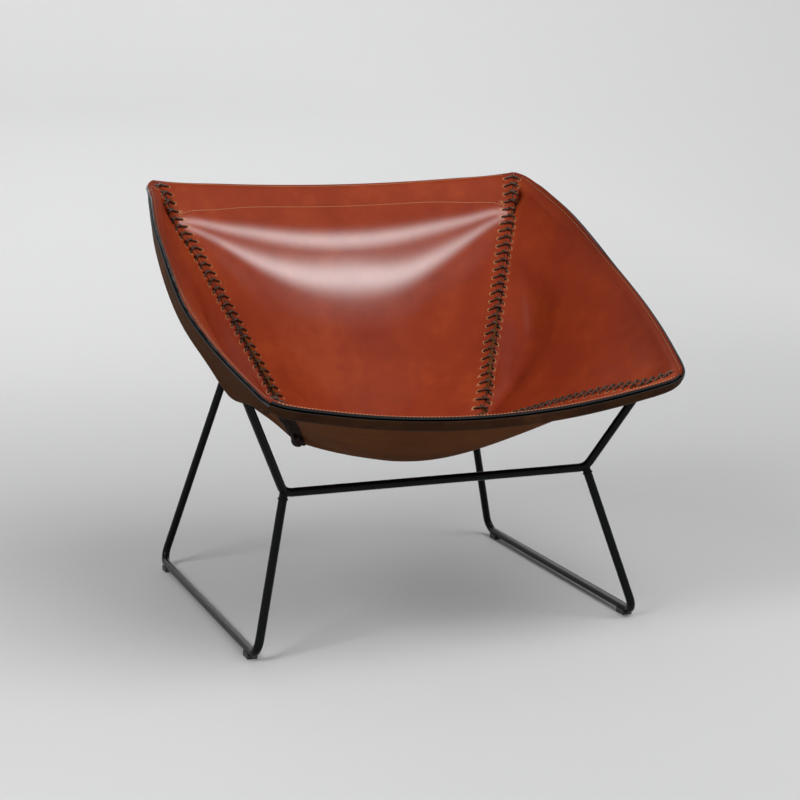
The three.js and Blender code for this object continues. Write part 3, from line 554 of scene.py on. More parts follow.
class Rim:
    """The ring's centre line on its right half, with the leather's direction up and its inner normal."""

    def __init__(self):
        ring, leather = setting("ring"), setting("leather")
        self.ring = ring
        self.tube_radius = setting("tube").diameter / 2
        self.back = np.array([ring.back_width / 2, ring.back_y, ring.back_height])
        self.front = np.array([ring.front_width / 2, ring.back_y - ring.depth, ring.front_height])
        self.side_length = float(np.linalg.norm(self.back - self.front))
        self.tip = np.array([leather.tip_spread / 2, leather.tip_y, leather.tip_height])
        self.line = self.half_ring()
        self.up_back = np.array([0.0, math.cos(leather.backrest), math.sin(leather.backrest)])
        self.up_front = np.array([0.0, -math.cos(leather.seat_front), math.sin(leather.seat_front)])
        frames = [self.station(i) for i in range(LAST + 1)]
        self.up = np.array([f[0] for f in frames])
        self.inner = np.array([f[1] for f in frames])
        self.runs = runs_along(self.line)

    @staticmethod
    def rail(start, end, bow, t):
        return mix(start, end, t) + bow * (4 * t * (1 - t))

    def back_rail(self, distance):
        bow = np.array([0.0, self.ring.back_bow, -self.ring.back_sag])
        return self.rail(self.back * FLIP, self.back, bow, 1 - distance / self.ring.back_width)

    def side_rail(self, distance):
        bow = np.array([self.ring.side_bow, 0.0, -self.ring.side_drop])
        return self.rail(self.back, self.front, bow, distance / self.side_length)

    def front_rail(self, distance):
        bow = np.array([0.0, -self.ring.front_bow, -self.ring.front_sag])
        return self.rail(self.front * FLIP, self.front, bow, 1 - distance / self.ring.front_width)

    def half_ring(self):
        ring, near = self.ring, 2 * self.tube_radius
        start = BEND_EASE * ring.back_corner
        end = self.side_length - BEND_EASE * ring.front_corner
        steps = 2 * CORNER_HALF_STEPS
        back_arc = rounded(self.back_rail(near), self.back, self.side_rail(near), ring.back_corner, steps)
        side_end = self.side_rail(self.side_length - near)
        front_arc = rounded(side_end, self.front, self.front_rail(near), ring.front_corner, steps)
        back = [self.back_rail(d) for d in np.linspace(ring.back_width / 2, start, RAIL_HALF_STEPS)]
        side = [self.side_rail(d) for d in np.linspace(start, end, SIDE_STEPS - 1)]
        ease = self.side_length - end
        front = [self.front_rail(d) for d in np.linspace(ease, ring.front_width / 2, RAIL_HALF_STEPS)]
        return np.array(back + back_arc + side + front_arc + front)

    def seam_share(self, i):
        if i <= BACK_SEAM:
            return self.line[i, 0] / self.line[BACK_SEAM, 0]
        if i >= FRONT_SEAM:
            return self.line[i, 0] / self.line[FRONT_SEAM, 0]
        return 1.0

    def side_aim(self, i):
        leather = setting("leather")
        forward = min(max((i - BACK_SEAM) / (FRONT_SEAM - BACK_SEAM), 0.0), 1.0)
        lean = np.array([self.tip[0], self.tip[1], mix(leather.lean_height, leather.tip_height, forward)])
        upright = leather.side_upright * 4 * forward**2 * (1 - forward)
        return mix(unit(self.line[i] - lean), UP, upright)

    def station(self, i):
        before = self.line[i - 1] if i > 0 else self.line[1] * FLIP
        after = self.line[i + 1] if i < LAST else self.line[LAST - 1] * FLIP
        tangent = unit(after - before)
        middle = self.up_back if i <= BACK_SEAM else self.up_front
        aim = mix(middle, self.side_aim(i), self.seam_share(i) ** 2)
        up = unit(aim - tangent * (aim @ tangent))
        return up, np.cross(tangent, up)

    def fine(self, places):
        """Centre, up and inner normal at distances along the ring from the middle of the back."""
        ghosts = [2, 1]
        ends = [LAST - 1, LAST - 2]
        knots = np.concatenate([
            [-self.runs[2], -self.runs[1]],
            self.runs,
            2 * self.runs[-1] - self.runs[ends],
        ])
        weights = cubic_weights(knots, places)
        values = [
            weights @ np.concatenate([part[ghosts] * FLIP, part, part[ends] * FLIP])
            for part in (self.line, self.up, self.inner)
        ]
        return values[0], unit(values[1]), unit(values[2])


class Bowl:
    """The leather's inner faces: the centre panel whole, and the side panel on the right."""

    def __init__(self):
        self.leather = setting("leather")
        self.rim = Rim()
        leather = self.leather
        self.offset = self.rim.tube_radius + leather.clearance + leather.thickness / 2
        self.hem_reach = leather.hem_width - leather.flange
        self.coarse_seat()
        self.fine_seat()
        self.fine_side()

    def slant(self, places, a, flange, up, inner):
        """How a seam at a back corner slants along the ring, and falls away under it."""
        leather = self.leather
        past = places - BACK_SEAM
        slide = leather.corner_shear * (1 - smooth(0.0, BACK_SEAM, np.abs(past))) * (flange - a)
        ahead = 1 - smooth(CORNER_HALF_STEPS, TUCK_AHEAD, past)
        tucked = np.where(past > 0, ahead, 1 - smooth(0.0, TUCK_BEHIND, -past))
        under = leather.corner_tuck * tucked * np.maximum(-a, 0.0)
        return np.cross(up, inner) * np.asarray(slide)[..., None] - inner * np.asarray(under)[..., None]

    def tucked_under(self, places):
        """How far the back band's lower end falls away under the ring, negative outward."""
        steps = np.interp(places, self.rim.runs, np.arange(LAST + 1))
        up, inner = self.rim.fine(places)[1:]
        return (self.slant(steps, -self.hem_reach, self.flange_at(steps), up, inner) * inner).sum(axis=1)

    def hem_line(self, across):
        """The sleeve's inner seam, as places on the row knots; it runs lower toward the corners."""
        lower = 1 + self.leather.corner_hem * np.abs(across) ** HEM_POWER
        return self.row_knots[BAND_ROWS - 1] * lower

    def beside(self, i, a):
        rim = self.rim
        slant = self.slant(i, a, self.flange_at(i), rim.up[i], rim.inner[i])
        return rim.line[i] + rim.up[i] * a + rim.inner[i] * self.offset + slant

    def flange_at(self, i):
        leather = self.leather
        whole = leather.corner_flange - leather.flange
        before = whole * np.maximum(0.0, 1 - (BACK_SEAM - i) / (CORNER_HALF_STEPS + 1)) ** 3
        past = leather.side_rise * (1 - smooth(BACK_SEAM + RISE_FADE[0], BACK_SEAM + RISE_FADE[1], i))
        past = past + (whole - leather.side_rise) * (1 - smooth(BACK_SEAM, BACK_SEAM + CORNER_FADE, i))
        return leather.flange + np.where(i > BACK_SEAM, past, before)

    def band(self, i):
        """Points of the sleeve's leather at its cut edge and beside the tube."""
        return [self.beside(i, a) for a in (self.flange_at(i), 0.0)]

    def middle_line(self):
        low = np.array([0.0, self.leather.seat_y, self.leather.seat_height])
        level = np.array([0.0, -1.0, 0.0])
        back, front = self.beside(0, -self.hem_reach), self.beside(LAST, -self.hem_reach)
        rear = HANDLE * np.linalg.norm(back - low)
        fore = HANDLE * np.linalg.norm(front - low)
        first = [back, back - self.rim.up_back * rear, low - level * rear, low]
        second = [low, low + level * fore, front - self.rim.up_front * fore, front]
        t = np.linspace(0, 1, SEAM_STEPS + 1)[:, None]
        curve = [
            c[0] * (1 - t) ** 3 + 3 * c[1] * t * (1 - t) ** 2 + 3 * c[2] * t**2 * (1 - t) + c[3] * t**3
            for c in (first, second)
        ]
        return np.concatenate([curve[0], curve[1][1:]])

    def corner_seam(self):
        tip = self.rim.tip
        t = np.linspace(0, 1, SEAM_STEPS + 1)[:, None]
        bow = self.leather.seam_bow * 4 * t * (1 - t)
        rear = mix(self.beside(BACK_SEAM, -self.hem_reach), tip, t) + self.rim.inner[BACK_SEAM] * bow
        fore = mix(tip, self.beside(FRONT_SEAM, -self.hem_reach), t) + self.rim.inner[FRONT_SEAM] * bow
        return np.concatenate([rear, fore[1:]])

    def coarse_seat(self):
        """Columns of the centre panel's right half, from the middle to the seam."""
        middle, seam = self.middle_line(), self.corner_seam()
        last = len(seam) - 1
        columns = []
        for j in range(BACK_SEAM + 1):
            part = self.rim.seam_share(j)
            trough = mix(middle, seam, part**2)
            trough[:, 0] = part * seam[:, 0]
            shifts = (
                self.beside(j, -self.hem_reach) - trough[0],
                self.beside(LAST - j, -self.hem_reach) - trough[last],
            )
            for k in range(last + 1):
                distance = min(k, last - k) / SEAM_STEPS
                trough[k] += shifts[0 if k <= SEAM_STEPS else 1] * (1 - distance) ** 2
            columns.append([*self.band(j), *trough, *self.band(LAST - j)[::-1]])
        half = np.array(columns)
        self.seat_net = np.concatenate([half[:0:-1] * FLIP, half])
        rows = np.linalg.norm(np.diff(self.seat_net, axis=1), axis=2).mean(axis=0)
        self.row_knots = np.concatenate([[0.0], np.cumsum(rows)])
        steps = np.linalg.norm(np.diff(self.seat_net, axis=0), axis=2).mean(axis=1)
        self.column_knots = np.concatenate([[0.0], np.cumsum(steps)])

    def band_places(self):
        """Distances from the cut edge at which the band's fine rows lie."""
        leather, lacing = self.leather, setting("lacing")
        edge, hem = lacing.edge_inset, leather.hem_width - lacing.hem_inset
        plain = [0.0, EDGE_ROW, *(edge + row for row in FLANGE_ROWS), leather.flange, leather.hem_width]
        below = np.linspace(leather.flange + TUBE_ROWS_START, hem - TUBE_ROWS_END, TUBE_ROWS)
        return np.unique(np.concatenate([plain, edge + THREAD_ROWS, below, hem + THREAD_ROWS]))

    def row_places(self, bands, knots):
        """Band distances from a cut edge as places on the row knots."""
        leather = self.leather
        return np.interp(bands, [0.0, leather.flange, leather.hem_width], knots)

    def fine_seat(self):
        bands = self.band_places()
        total = self.row_knots[-1]
        back = self.row_places(bands, self.row_knots[:BAND_ROWS])
        front = total - self.row_places(bands, (total - self.row_knots[-BAND_ROWS:])[::-1])
        between = np.linspace(back[-1], front[-1], round((front[-1] - back[-1]) / ROW_STEP) + 1)[1:-1]
        self.seat_rows = np.concatenate([back, between, front[::-1]])
        self.bands = bands
        columns = graded(self.column_knots[-1], FINE_STEP, SEAT_STEP, SEAM_MARGIN)
        down = cubic_weights(self.row_knots, self.seat_rows, even=True)
        across = cubic_weights(self.column_knots, columns, even=True)
        middle = np.einsum("mi,kj,ijc->mkc", across, down, self.seat_net)
        self.seat_columns = columns
        normals = grid_normals(middle)
        if normals[len(columns) // 2, len(self.seat_rows) // 2, 2] < 0:
            normals = -normals
        lift = self.leather.thickness / 2 + self.seat_relief(columns, total)
        from_rim = np.minimum(self.seat_rows, total - self.seat_rows)
        self.seat = self.opened(middle + normals * lift[..., None], from_rim)
        self.seat_normals = grid_normals(self.seat)
        if (self.seat_normals * normals).sum() < 0:
            self.seat_normals = -self.seat_normals

    def edge_bend(self, from_edge, drop):
        """The sewn edge bends over the tube, and dips under its line of thread."""
        leather, lacing = self.leather, setting("lacing")
        out = np.clip(1 - from_edge / leather.flange, 0.0, 1.0)
        depth, width = EDGE_DIP
        return -drop * out**EDGE_POWER - depth * bump(lacing.edge_inset, width, from_edge)

    def back_drop(self, across):
        """How far the back edge bends over the tube, from the middle to the corners."""
        return mix(self.leather.back_drop, self.leather.corner_drop, across**4)

    def side_drop(self, part):
        """How far a side edge bends over the tube, from the back corner to the front corner."""
        low = mix(-self.leather.side_lift, self.leather.side_drop, smooth(*SIDE_TURN, part))
        return mix(self.leather.corner_drop, low, smooth(*CORNER_TURN, part))

    def seat_relief(self, columns, total):
        """How far the centre panel stands off its plain surface, at each column and row."""
        leather, lacing = self.leather, setting("lacing")
        across = (2 * columns / columns[-1] - 1)[:, None]
        from_back, from_front = self.seat_rows[None, :], total - self.seat_rows[None, :]
        back = self.edge_bend(from_back, self.back_drop(across))
        front = self.edge_bend(from_front, leather.front_drop)
        depth, width = HEM_DIP
        hem = -depth * bump(self.row_knots[BAND_ROWS - 1] - lacing.hem_inset, width, from_back)
        hem = hem * (1 - smooth(*HEM_DIP_FADE, np.abs(across)))
        fall = np.maximum(1 - across**2, LEAST_FALL)
        below = (from_back - self.row_knots[BAND_ROWS - 1]) / fall
        swell = plateau(SWELL_RISE, SWELL_FALL, below) * fall
        return back + front + hem + leather.back_swell * swell

    def seam_at(self, rows):
        """Points of the right seam at places counted in coarse rows."""
        places = np.interp(rows, np.arange(LAST_ROW + 1), self.row_knots)
        return cubic_weights(self.row_knots, places, even=True) @ self.seat_net[-1]

    def fine_side(self):
        leather = self.leather
        rim = self.rim
        first, last = rim.runs[BACK_SEAM], rim.runs[FRONT_SEAM]
        places = first + graded(last - first, FINE_STEP, SIDE_STEP, SEAM_MARGIN)
        centre, up, inner = rim.fine(places)
        steps = np.interp(places, rim.runs, np.arange(LAST + 1))
        flange = self.flange_at(steps)
        bands = self.bands
        a = np.where(
            bands[None, :] <= leather.flange,
            flange[:, None] * (1 - bands[None, :] / leather.flange),
            leather.flange - bands[None, :],
        )
        band = centre[:, None] + up[:, None] * a[..., None] + inner[:, None] * self.offset
        band = band + self.slant(steps[:, None], a, flange[:, None], up[:, None], inner[:, None])
        hem = band[:, -1]
        hem_runs = runs_along(hem)
        part = (hem_runs / hem_runs[-1])[:, None, None]
        depth = np.linalg.norm(self.seam_at([BAND_ROWS - 1])[0] - rim.tip)
        w = np.linspace(0, 1, round(depth / ROW_STEP) + 1)[1:]
        rear = self.seam_at(BAND_ROWS - 1 + SEAM_STEPS * w)
        fore = self.seam_at(LAST_ROW - (BAND_ROWS - 1) - SEAM_STEPS * w)
        corner = self.seam_at([BAND_ROWS - 1])[0], self.seam_at([LAST_ROW - (BAND_ROWS - 1)])[0]
        bulge = hem[:, None] - mix(corner[0], corner[1], part)
        sag = leather.side_sag * np.sin(math.pi * part)
        body = mix(rear[None], fore[None], part) + bulge * (1 - w)[None, :, None]
        body = body - inner[:, None] * sag * (4 * w * (1 - w))[None, :, None]
        self.side_down = np.concatenate([bands, bands[-1] + depth * w])
        middle = self.eased(np.concatenate([band, body], axis=1), places - places[0])
        straight = centre - up * self.hem_reach + inner * self.offset
        self.side_places = places
        self.side_off = ((middle[:, len(bands) - 1] - straight) * inner).sum(axis=1)
        normals = grid_normals(middle)
        normals[:, -1] = normals[:, -2]
        if normals[len(places) // 2, 2, 0] > 0:
            normals = -normals
        fallen = np.concatenate([np.zeros(len(bands)), w])
        lift = leather.thickness / 2 + self.side_relief(part[:, 0, 0], places - places[0], fallen)
        self.side = self.opened(middle + normals * lift[..., None], self.side_down)
        self.side_normals = grid_normals(self.side)
        if (self.side_normals * normals).sum() < 0:
            self.side_normals = -self.side_normals
        self.side_normals[:, -1] = self.side_normals[:, -2]

    def eased(self, grid, from_seam):
        """The side panel with a smooth turn in place of the crease where its sleeve ends."""
        down = self.side_down
        first = int(np.searchsorted(down, self.leather.flange + TURN_START))
        last = int(np.searchsorted(down, self.leather.hem_width + TURN_END))
        gap = down[last] - down[first]
        leave = (grid[:, first] - grid[:, first - 2]) / (down[first] - down[first - 2]) * gap
        arrive = (grid[:, last + 2] - grid[:, last]) / (down[last + 2] - down[last]) * gap
        t = ((down[first:last] - down[first]) / gap)[None, :, None]
        turn = (
            (2 * t**3 - 3 * t**2 + 1) * grid[:, first:first + 1] + (t**3 - 2 * t**2 + t) * leave[:, None]
            + (3 * t**2 - 2 * t**3) * grid[:, last:last + 1] + (t**3 - t**2) * arrive[:, None]
        )
        edges = np.minimum(from_seam, from_seam[-1] - from_seam)
        much = smooth(0.0, TURN_FADE, edges)[:, None, None]
        made = grid.copy()
        made[:, first:last] = mix(grid[:, first:last], turn, much)
        return made

    def side_relief(self, part, from_seam, fallen):
        """How far a side panel stands off its plain surface, at each column and row."""
        leather = self.leather
        part, from_seam = part[:, None], from_seam[:, None]
        down, fallen = self.side_down[None, :], fallen[None, :]
        edge = self.edge_bend(down, self.side_drop(part))
        past = from_seam - mix(*FOLD_PLACES, smooth(*FOLD_SLANT, down))
        fold = plateau(FOLD_RISE, FOLD_FALL, past) * plateau(FOLD_TOP, FOLD_END, down)
        valley = bump(VALLEY_PLACE, VALLEY_WIDTH + VALLEY_GROWTH * fallen, part)
        valley = valley * plateau(VALLEY_TOP, VALLEY_END, fallen)
        return edge - leather.corner_fold * fold - leather.side_valley * valley

    def opened(self, grid, from_rim):
        """The grid squeezed a little at both seams, so that each panel keeps half of the seam's gap."""
        gap = self.leather.seam_gap * mix(RIM_GAP, 1.0, smooth(0.0, GAP_WIDENS, from_rim))[:, None]
        made = grid.copy()
        easing = np.linspace(1.0, 0.0, GAP_COLUMNS)[:, None, None]
        for order in (slice(None), slice(None, None, -1)):
            view, source = made[order], grid[order]
            across = source[GAP_COLUMNS] - source[0]
            size = np.linalg.norm(across, axis=1, keepdims=True)
            step = np.minimum(gap / 2, MOST_SQUEEZE * size)
            view[:GAP_COLUMNS] += easing * (across / np.maximum(size, 1e-9) * step)[None]
        return made


class SeamSide:
    """One panel beside a seam: places on its inner face, from the rim edge down and out from the seam."""

    def __init__(self, points, normals):
        self.points = points
        self.normals = normals
        self.runs = runs_along(points[0])

    def at(self, run, reach):
        """Point and normal at a distance along the seam and a reach square to it."""
        seam, ahead, behind = (
            along_line(run + shift, self.runs, self.points[0]) for shift in (0.0, SEAM_AHEAD, -SEAM_AHEAD))
        along = unit(ahead - behind)
        moved = run
        for _ in range(3):
            point, normal = self.on_row(moved, reach)
            moved = float(np.clip(moved - (point - seam) @ along, 0.0, self.runs[-1]))
        return point, normal

    def on_row(self, run, reach):
        """Point and normal out along the grid's own row."""
        place = float(np.interp(run, self.runs, np.arange(len(self.runs))))
        k = min(int(place), len(self.runs) - 2)
        points = mix(self.points[:, k], self.points[:, k + 1], place - k)
        normals = mix(self.normals[:, k], self.normals[:, k + 1], place - k)
        tangent = unit(self.points[0, k + 1] - self.points[0, k])
        steps = np.diff(points, axis=0)
        square = steps - np.outer(steps @ tangent, tangent)
        reaches = np.concatenate([[0.0], np.cumsum(np.linalg.norm(square, axis=1))])
        return along_line(reach, reaches, points), unit(along_line(reach, reaches, normals))


# Pieces


def to_frame(points):
    """From depths counted from the middle of the runners to the chair's own frame."""
    return np.asarray(points, float) + np.array([0.0, CENTRE_Y, 0.0])


def add_piece(name, mesh, materials, slot, *replaced):
    piece = bpy.data.objects.new(name, mesh)
    bpy.context.scene.collection.objects.link(piece)
    for material in materials:
        piece.data.materials.append(material)
    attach(piece, BODY)
    if replaced:
        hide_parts(*replaced)
    return piece


def finish_mesh(name, bm, smooth_faces=True):
    mesh = bpy.data.meshes.new(name)
    for face in bm.faces:
        face.smooth = smooth_faces
    bm.to_mesh(mesh)
    bm.free()
    return mesh


def grid_mesh(name, points, attributes, turn_over=False, weld=False):
    """A sheet: a grid whose corners are moved to the points, with named values at each corner."""
    columns, rows = points.shape[:2]
    bm = bmesh.new()
    bmesh.ops.create_grid(bm, x_segments=columns - 1, y_segments=rows - 1, size=0.5, calc_uvs=True)
    layers = {key: bm.verts.layers.float.new(key) for key in attributes}
    placed = to_frame(points)
    for vertex in bm.verts:
        i = round((vertex.co.x + 0.5) * (columns - 1))
        k = round((vertex.co.y + 0.5) * (rows - 1))
        vertex.co = placed[i, k]
        for key, layer in layers.items():
            vertex[layer] = attributes[key][i, k]
    if turn_over:
        bmesh.ops.reverse_faces(bm, faces=bm.faces)
    if weld:
        bmesh.ops.remove_doubles(bm, verts=bm.verts, dist=1e-5)
    return finish_mesh(name, bm)


def thicken(piece, thickness, bevel):
    """The sheet's own face is its good side; the back and the cut edge take the next materials."""
    solid = piece.modifiers.new("thickness", "SOLIDIFY")
    solid.thickness = thickness
    solid.offset = -1.0
    solid.material_offset = 1
    solid.material_offset_rim = 2
    edge = piece.modifiers.new("edge", "BEVEL")
    edge.width = bevel
    edge.segments = 2
    edge.limit_method = "ANGLE"
    edge.angle_limit = math.radians(BEVEL_ANGLE)
    edge.material = -1


def tube_mesh(name, lines, radius, sides=24, closed=False):
    """Tubes of one radius along lines, as one mesh."""
    curve = bpy.data.curves.new(name, "CURVE")
    curve.dimensions = "3D"
    curve.bevel_depth = radius
    curve.bevel_resolution = max(0, sides // 4 - 1)
    curve.use_fill_caps = not closed
    for line in lines:
        spline = curve.splines.new("POLY")
        spline.points.add(len(line) - 1)
        for place, p in zip(spline.points, to_frame(line)):
            place.co = (*p, 1.0)
        spline.use_cyclic_u = closed
        spline.use_smooth = True
    holder = bpy.data.objects.new(name + "_line", curve)
    bpy.context.scene.collection.objects.link(holder)
    graph = bpy.context.evaluated_depsgraph_get()
    mesh = bpy.data.meshes.new_from_object(holder.evaluated_get(graph))
    mesh.name = name
    bpy.data.objects.remove(holder)
    bpy.data.curves.remove(curve)
    return mesh


def joined(front, back):
    """One mesh of two, in which the second one's faces take the second material."""
    bm = bmesh.new()
    bm.from_mesh(front)
    count = len(bm.faces)
    bm.from_mesh(back)
    bm.faces.ensure_lookup_table()
    for face in bm.faces[count:]:
        face.material_index = 1
    bm.to_mesh(front)
    bm.free()
    bpy.data.meshes.remove(back)
    return front


def smooth_line(points, per_span=3):
    """The same line with more points, curved through the ones given."""
    points = np.asarray(points, float)
    knots = runs_along(points)
    places = np.interp(np.arange((len(points) - 1) * per_span + 1) / per_span, np.arange(len(points)), knots)
    return cubic_weights(knots, places) @ points


# Materials


class Tree:
    """A short way to write a node tree."""

    def __init__(self, tree):
        self.tree = tree

    def node(self, kind, inputs=None, **settings):
        made = self.tree.nodes.new(kind)
        for key, value in settings.items():
            setattr(made, key, value)
        for key, value in (inputs or {}).items():
            if isinstance(value, bpy.types.NodeSocket):
                self.tree.links.new(value, made.inputs[key])
            else:
                made.inputs[key].default_value = value
        return made

    def noise(self, vector, scale, detail=4.0, roughness=0.55):
        made = self.node("ShaderNodeTexNoise", {
            "Vector": vector, "Scale": scale, "Detail": detail, "Roughness": roughness})
        return made.outputs["Fac"]

    def math(self, operation, a, b):
        return self.node("ShaderNodeMath", {0: a, 1: b}, operation=operation).outputs[0]

    def ramp(self, value, low, high, to_low=0.0, to_high=1.0):
        made = self.node("ShaderNodeMapRange", {
            "Value": value, "From Min": low, "From Max": high, "To Min": to_low, "To Max": to_high})
        return made.outputs["Result"]

    def blend(self, fac, a, b):
        """A mix of two colours, by the mix node's sockets for colours."""
        return self.node("ShaderNodeMix", {0: fac, 6: a, 7: b}, data_type="RGBA").outputs[2]

    def weighted(self, a, of_a, b, of_b):
        """Two values, each times its weight, added up."""
        return self.math("ADD", self.math("MULTIPLY", a, of_a), self.math("MULTIPLY", b, of_b))

    def attribute(self, name):
        return self.node("ShaderNodeAttribute", attribute_name=name).outputs["Fac"]

    def seen(self):
        """1 for a ray that shows the surface, straight, mirrored or through glass, and 0 for light."""
        ray = self.node("ShaderNodeLightPath").outputs
        mirrored = self.math("MAXIMUM", ray["Is Glossy Ray"], ray["Is Transmission Ray"])
        return self.math("MAXIMUM", ray["Is Camera Ray"], mirrored)

    def feed(self, shader, name, value):
        self.tree.links.new(value, shader.inputs[name])


def rgba(values, times=1.0):
    """A colour with its alpha, made lighter or darker."""
    return (*(times * c for c in values), 1.0)


def leather_grain_group():
    """Grain, pores, mottling and fine scratches, shared by every leather."""
    name = "Leather grain"
    if name in bpy.data.node_groups:
        return bpy.data.node_groups[name]
    group = bpy.data.node_groups.new(name, "ShaderNodeTree")
    group.interface.new_socket("Place", in_out="INPUT", socket_type="NodeSocketVector")
    group.interface.new_socket("Pore Scale", in_out="INPUT", socket_type="NodeSocketFloat")
    group.interface.new_socket("Mottle Scale", in_out="INPUT", socket_type="NodeSocketFloat")
    for output in ("Height", "Mottle", "Scratch"):
        group.interface.new_socket(output, in_out="OUTPUT", socket_type="NodeSocketFloat")
    t = Tree(group)
    given = t.node("NodeGroupInput").outputs
    place, pore_scale, mottle_scale = given["Place"], given["Pore Scale"], given["Mottle Scale"]
    pores = t.node("ShaderNodeTexVoronoi", {"Vector": place, "Scale": pore_scale}, feature="SMOOTH_F1")
    pebble = t.ramp(pores.outputs["Distance"], 0.0, 0.7)
    fibre = t.noise(place, t.math("MULTIPLY", pore_scale, 0.35), 6.0, 0.65)
    height = t.weighted(pebble, 0.45, fibre, 0.55)
    cloud = t.noise(place, mottle_scale, 5.0, 0.6)
    patch = t.noise(place, t.math("MULTIPLY", mottle_scale, 4.3), 4.0, 0.6)
    mottle = t.weighted(cloud, 0.65, patch, 0.35)
    stretch = t.node("ShaderNodeMapping", {
        "Vector": place, "Rotation": (0.5, 0.3, 0.7), "Scale": (260.0, 9.0, 60.0)})
    lines = t.noise(stretch.outputs["Vector"], 1.0, 2.0, 0.4)
    scratch = t.ramp(lines, 0.70, 0.80)
    out = t.node("NodeGroupOutput")
    for key, value in (("Height", height), ("Mottle", mottle), ("Scratch", scratch)):
        group.links.new(value, out.inputs[key])
    return group


def new_material(name, roughness=0.5, **plain):
    """A material with its shader, whose plain values are set on the shader itself."""
    material = bpy.data.materials.new(name)
    material.use_nodes = True
    t = Tree(material.node_tree)
    shader = material.node_tree.nodes["Principled BSDF"]
    shader.inputs["Roughness"].default_value = roughness
    for key, value in plain.items():
        shader.inputs[key.replace("_", " ")].default_value = value
    place = t.node("ShaderNodeTexCoord").outputs["Object"]
    return material, t, shader, place


def grain(t, place, pore_scale, mottle_scale):
    inputs = {"Place": place, "Pore Scale": pore_scale, "Mottle Scale": mottle_scale}
    return t.node("ShaderNodeGroup", inputs, node_tree=leather_grain_group()).outputs


def bumped(t, shader, height, strength, distance):
    made = t.node("ShaderNodeBump", {"Height": height, "Strength": strength, "Distance": distance})
    t.feed(shader, "Normal", made.outputs["Normal"])


def saddle_leather():
    colours = setting("finish")
    material, t, shader, place = new_material(
        "Saddle leather", Coat_Roughness=0.18, Coat_IOR=2.2, Specular_IOR_Level=0.05)
    found = grain(t, place, 950.0, 5.0)
    deep = t.blend(t.ramp(found["Mottle"], 0.28, 0.60), rgba(colours.leather_dark), rgba(colours.leather_mid))
    pale = t.blend(t.ramp(found["Mottle"], 0.52, 0.85, 0.0, 0.8), deep, rgba(colours.leather_light))
    scuffed = t.blend(t.math("MULTIPLY", found["Scratch"], 0.20), pale, rgba(colours.leather_light))
    # Burnished edges and seams darken the leather here, together with painted shade along and across the side
    # panels.
    dark = t.math("MULTIPLY", t.attribute("burnish_and_shade"), 0.9)
    burnished_and_shaded = t.blend(dark, scuffed, rgba(colours.leather_dark, 0.4))
    t.feed(shader, "Base Color", t.blend(t.attribute("hole_rim"), burnished_and_shaded, rgba(colours.hole)))
    rough = t.ramp(t.noise(place, 60.0, 5.0), 0.3, 0.7, 0.45, 0.56)
    t.feed(shader, "Roughness", rough)
    gloss = t.math("MULTIPLY", t.attribute("polish"), t.ramp(found["Mottle"], 0.3, 0.7, 0.86, 1.0))
    dulled = t.ramp(found["Scratch"], 0.0, 1.0, 1.0, 0.6)
    t.feed(shader, "Coat Weight", t.math("MULTIPLY", gloss, dulled))
    bumped(t, shader, found["Height"], 0.07, 0.0004)
    return material


def suede_back():
    colours = setting("finish")
    material, t, shader, place = new_material("Leather flesh side", 0.88, Specular_IOR_Level=0.06)
    found = grain(t, place, 600.0, 9.0)
    fine = t.noise(place, 900.0, 3.0, 0.7)
    tone = t.ramp(t.weighted(found["Mottle"], 0.7, fine, 0.3), 0.35, 0.65)
    t.feed(shader, "Base Color", t.blend(tone, rgba(colours.suede, 0.55), rgba(colours.suede)))
    bumped(t, shader, fine, 0.5, 0.0006)
    return material


def edge_paint():
    colours = setting("finish")
    material, t, shader, place = new_material("Edge paint", 0.36, Specular_IOR_Level=0.22)
    wear = t.ramp(t.noise(place, 130.0, 6.0, 0.7), 0.66, 0.78, 0.0, 0.35)
    worn = t.blend(wear, rgba(colours.edge), rgba(colours.suede))
    t.feed(shader, "Base Color", worn)
    t.feed(shader, "Roughness", t.ramp(t.noise(place, 300.0), 0.3, 0.7, 0.28, 0.46))
    bumped(t, shader, t.noise(place, 700.0, 3.0), 0.25, 0.0004)
    return material


def strip_leather(name="Strip leather", deep=1.0):
    colours = setting("finish")
    material, t, shader, place = new_material(name, Specular_IOR_Level=0.05)
    found = grain(t, place, 800.0, 11.0)
    # A deep below 1 darkens the whole strip: painted shade under the front edge.
    plain = tuple(deep * c for c in colours.strip)
    dark = rgba(plain, 0.5)
    tone = t.blend(t.ramp(found["Mottle"], 0.35, 0.6), dark, rgba(plain))
    worn = t.blend(t.ramp(found["Mottle"], 0.56, 0.72), tone, rgba(plain, 1.9))
    # The attribute darkens the strip with painted shade toward the front of the side strips.
    shaded = t.blend(t.math("MULTIPLY", t.attribute("burnish_and_shade"), 0.75), worn, dark)
    t.feed(shader, "Base Color", shaded)
    t.feed(shader, "Roughness", t.ramp(found["Mottle"], 0.3, 0.7, 0.55, 0.75))
    bumped(t, shader, found["Height"], 0.25, 0.0004)
    return material


def lace_leather(name="Lace leather", worn=1.0):
    colours = setting("finish")
    material, t, shader, place = new_material(name, Specular_IOR_Level=0.15 + 0.15 * worn)
    found = grain(t, place, 1400.0, 120.0)
    rub = t.ramp(found["Mottle"], 0.50, 0.70, 0.0, 0.8)
    # A worn below 1 darkens the lace: painted shade for the laces under the seat.
    tone = mix(0.22, 1.0, worn)
    t.feed(shader, "Base Color", t.blend(rub, rgba(colours.lace, tone), rgba(colours.lace_worn, tone)))
    t.feed(shader, "Roughness", t.ramp(found["Mottle"], 0.3, 0.7, 0.35, 0.55))
    bumped(t, shader, found["Height"], 0.35, 0.0004)
    return material


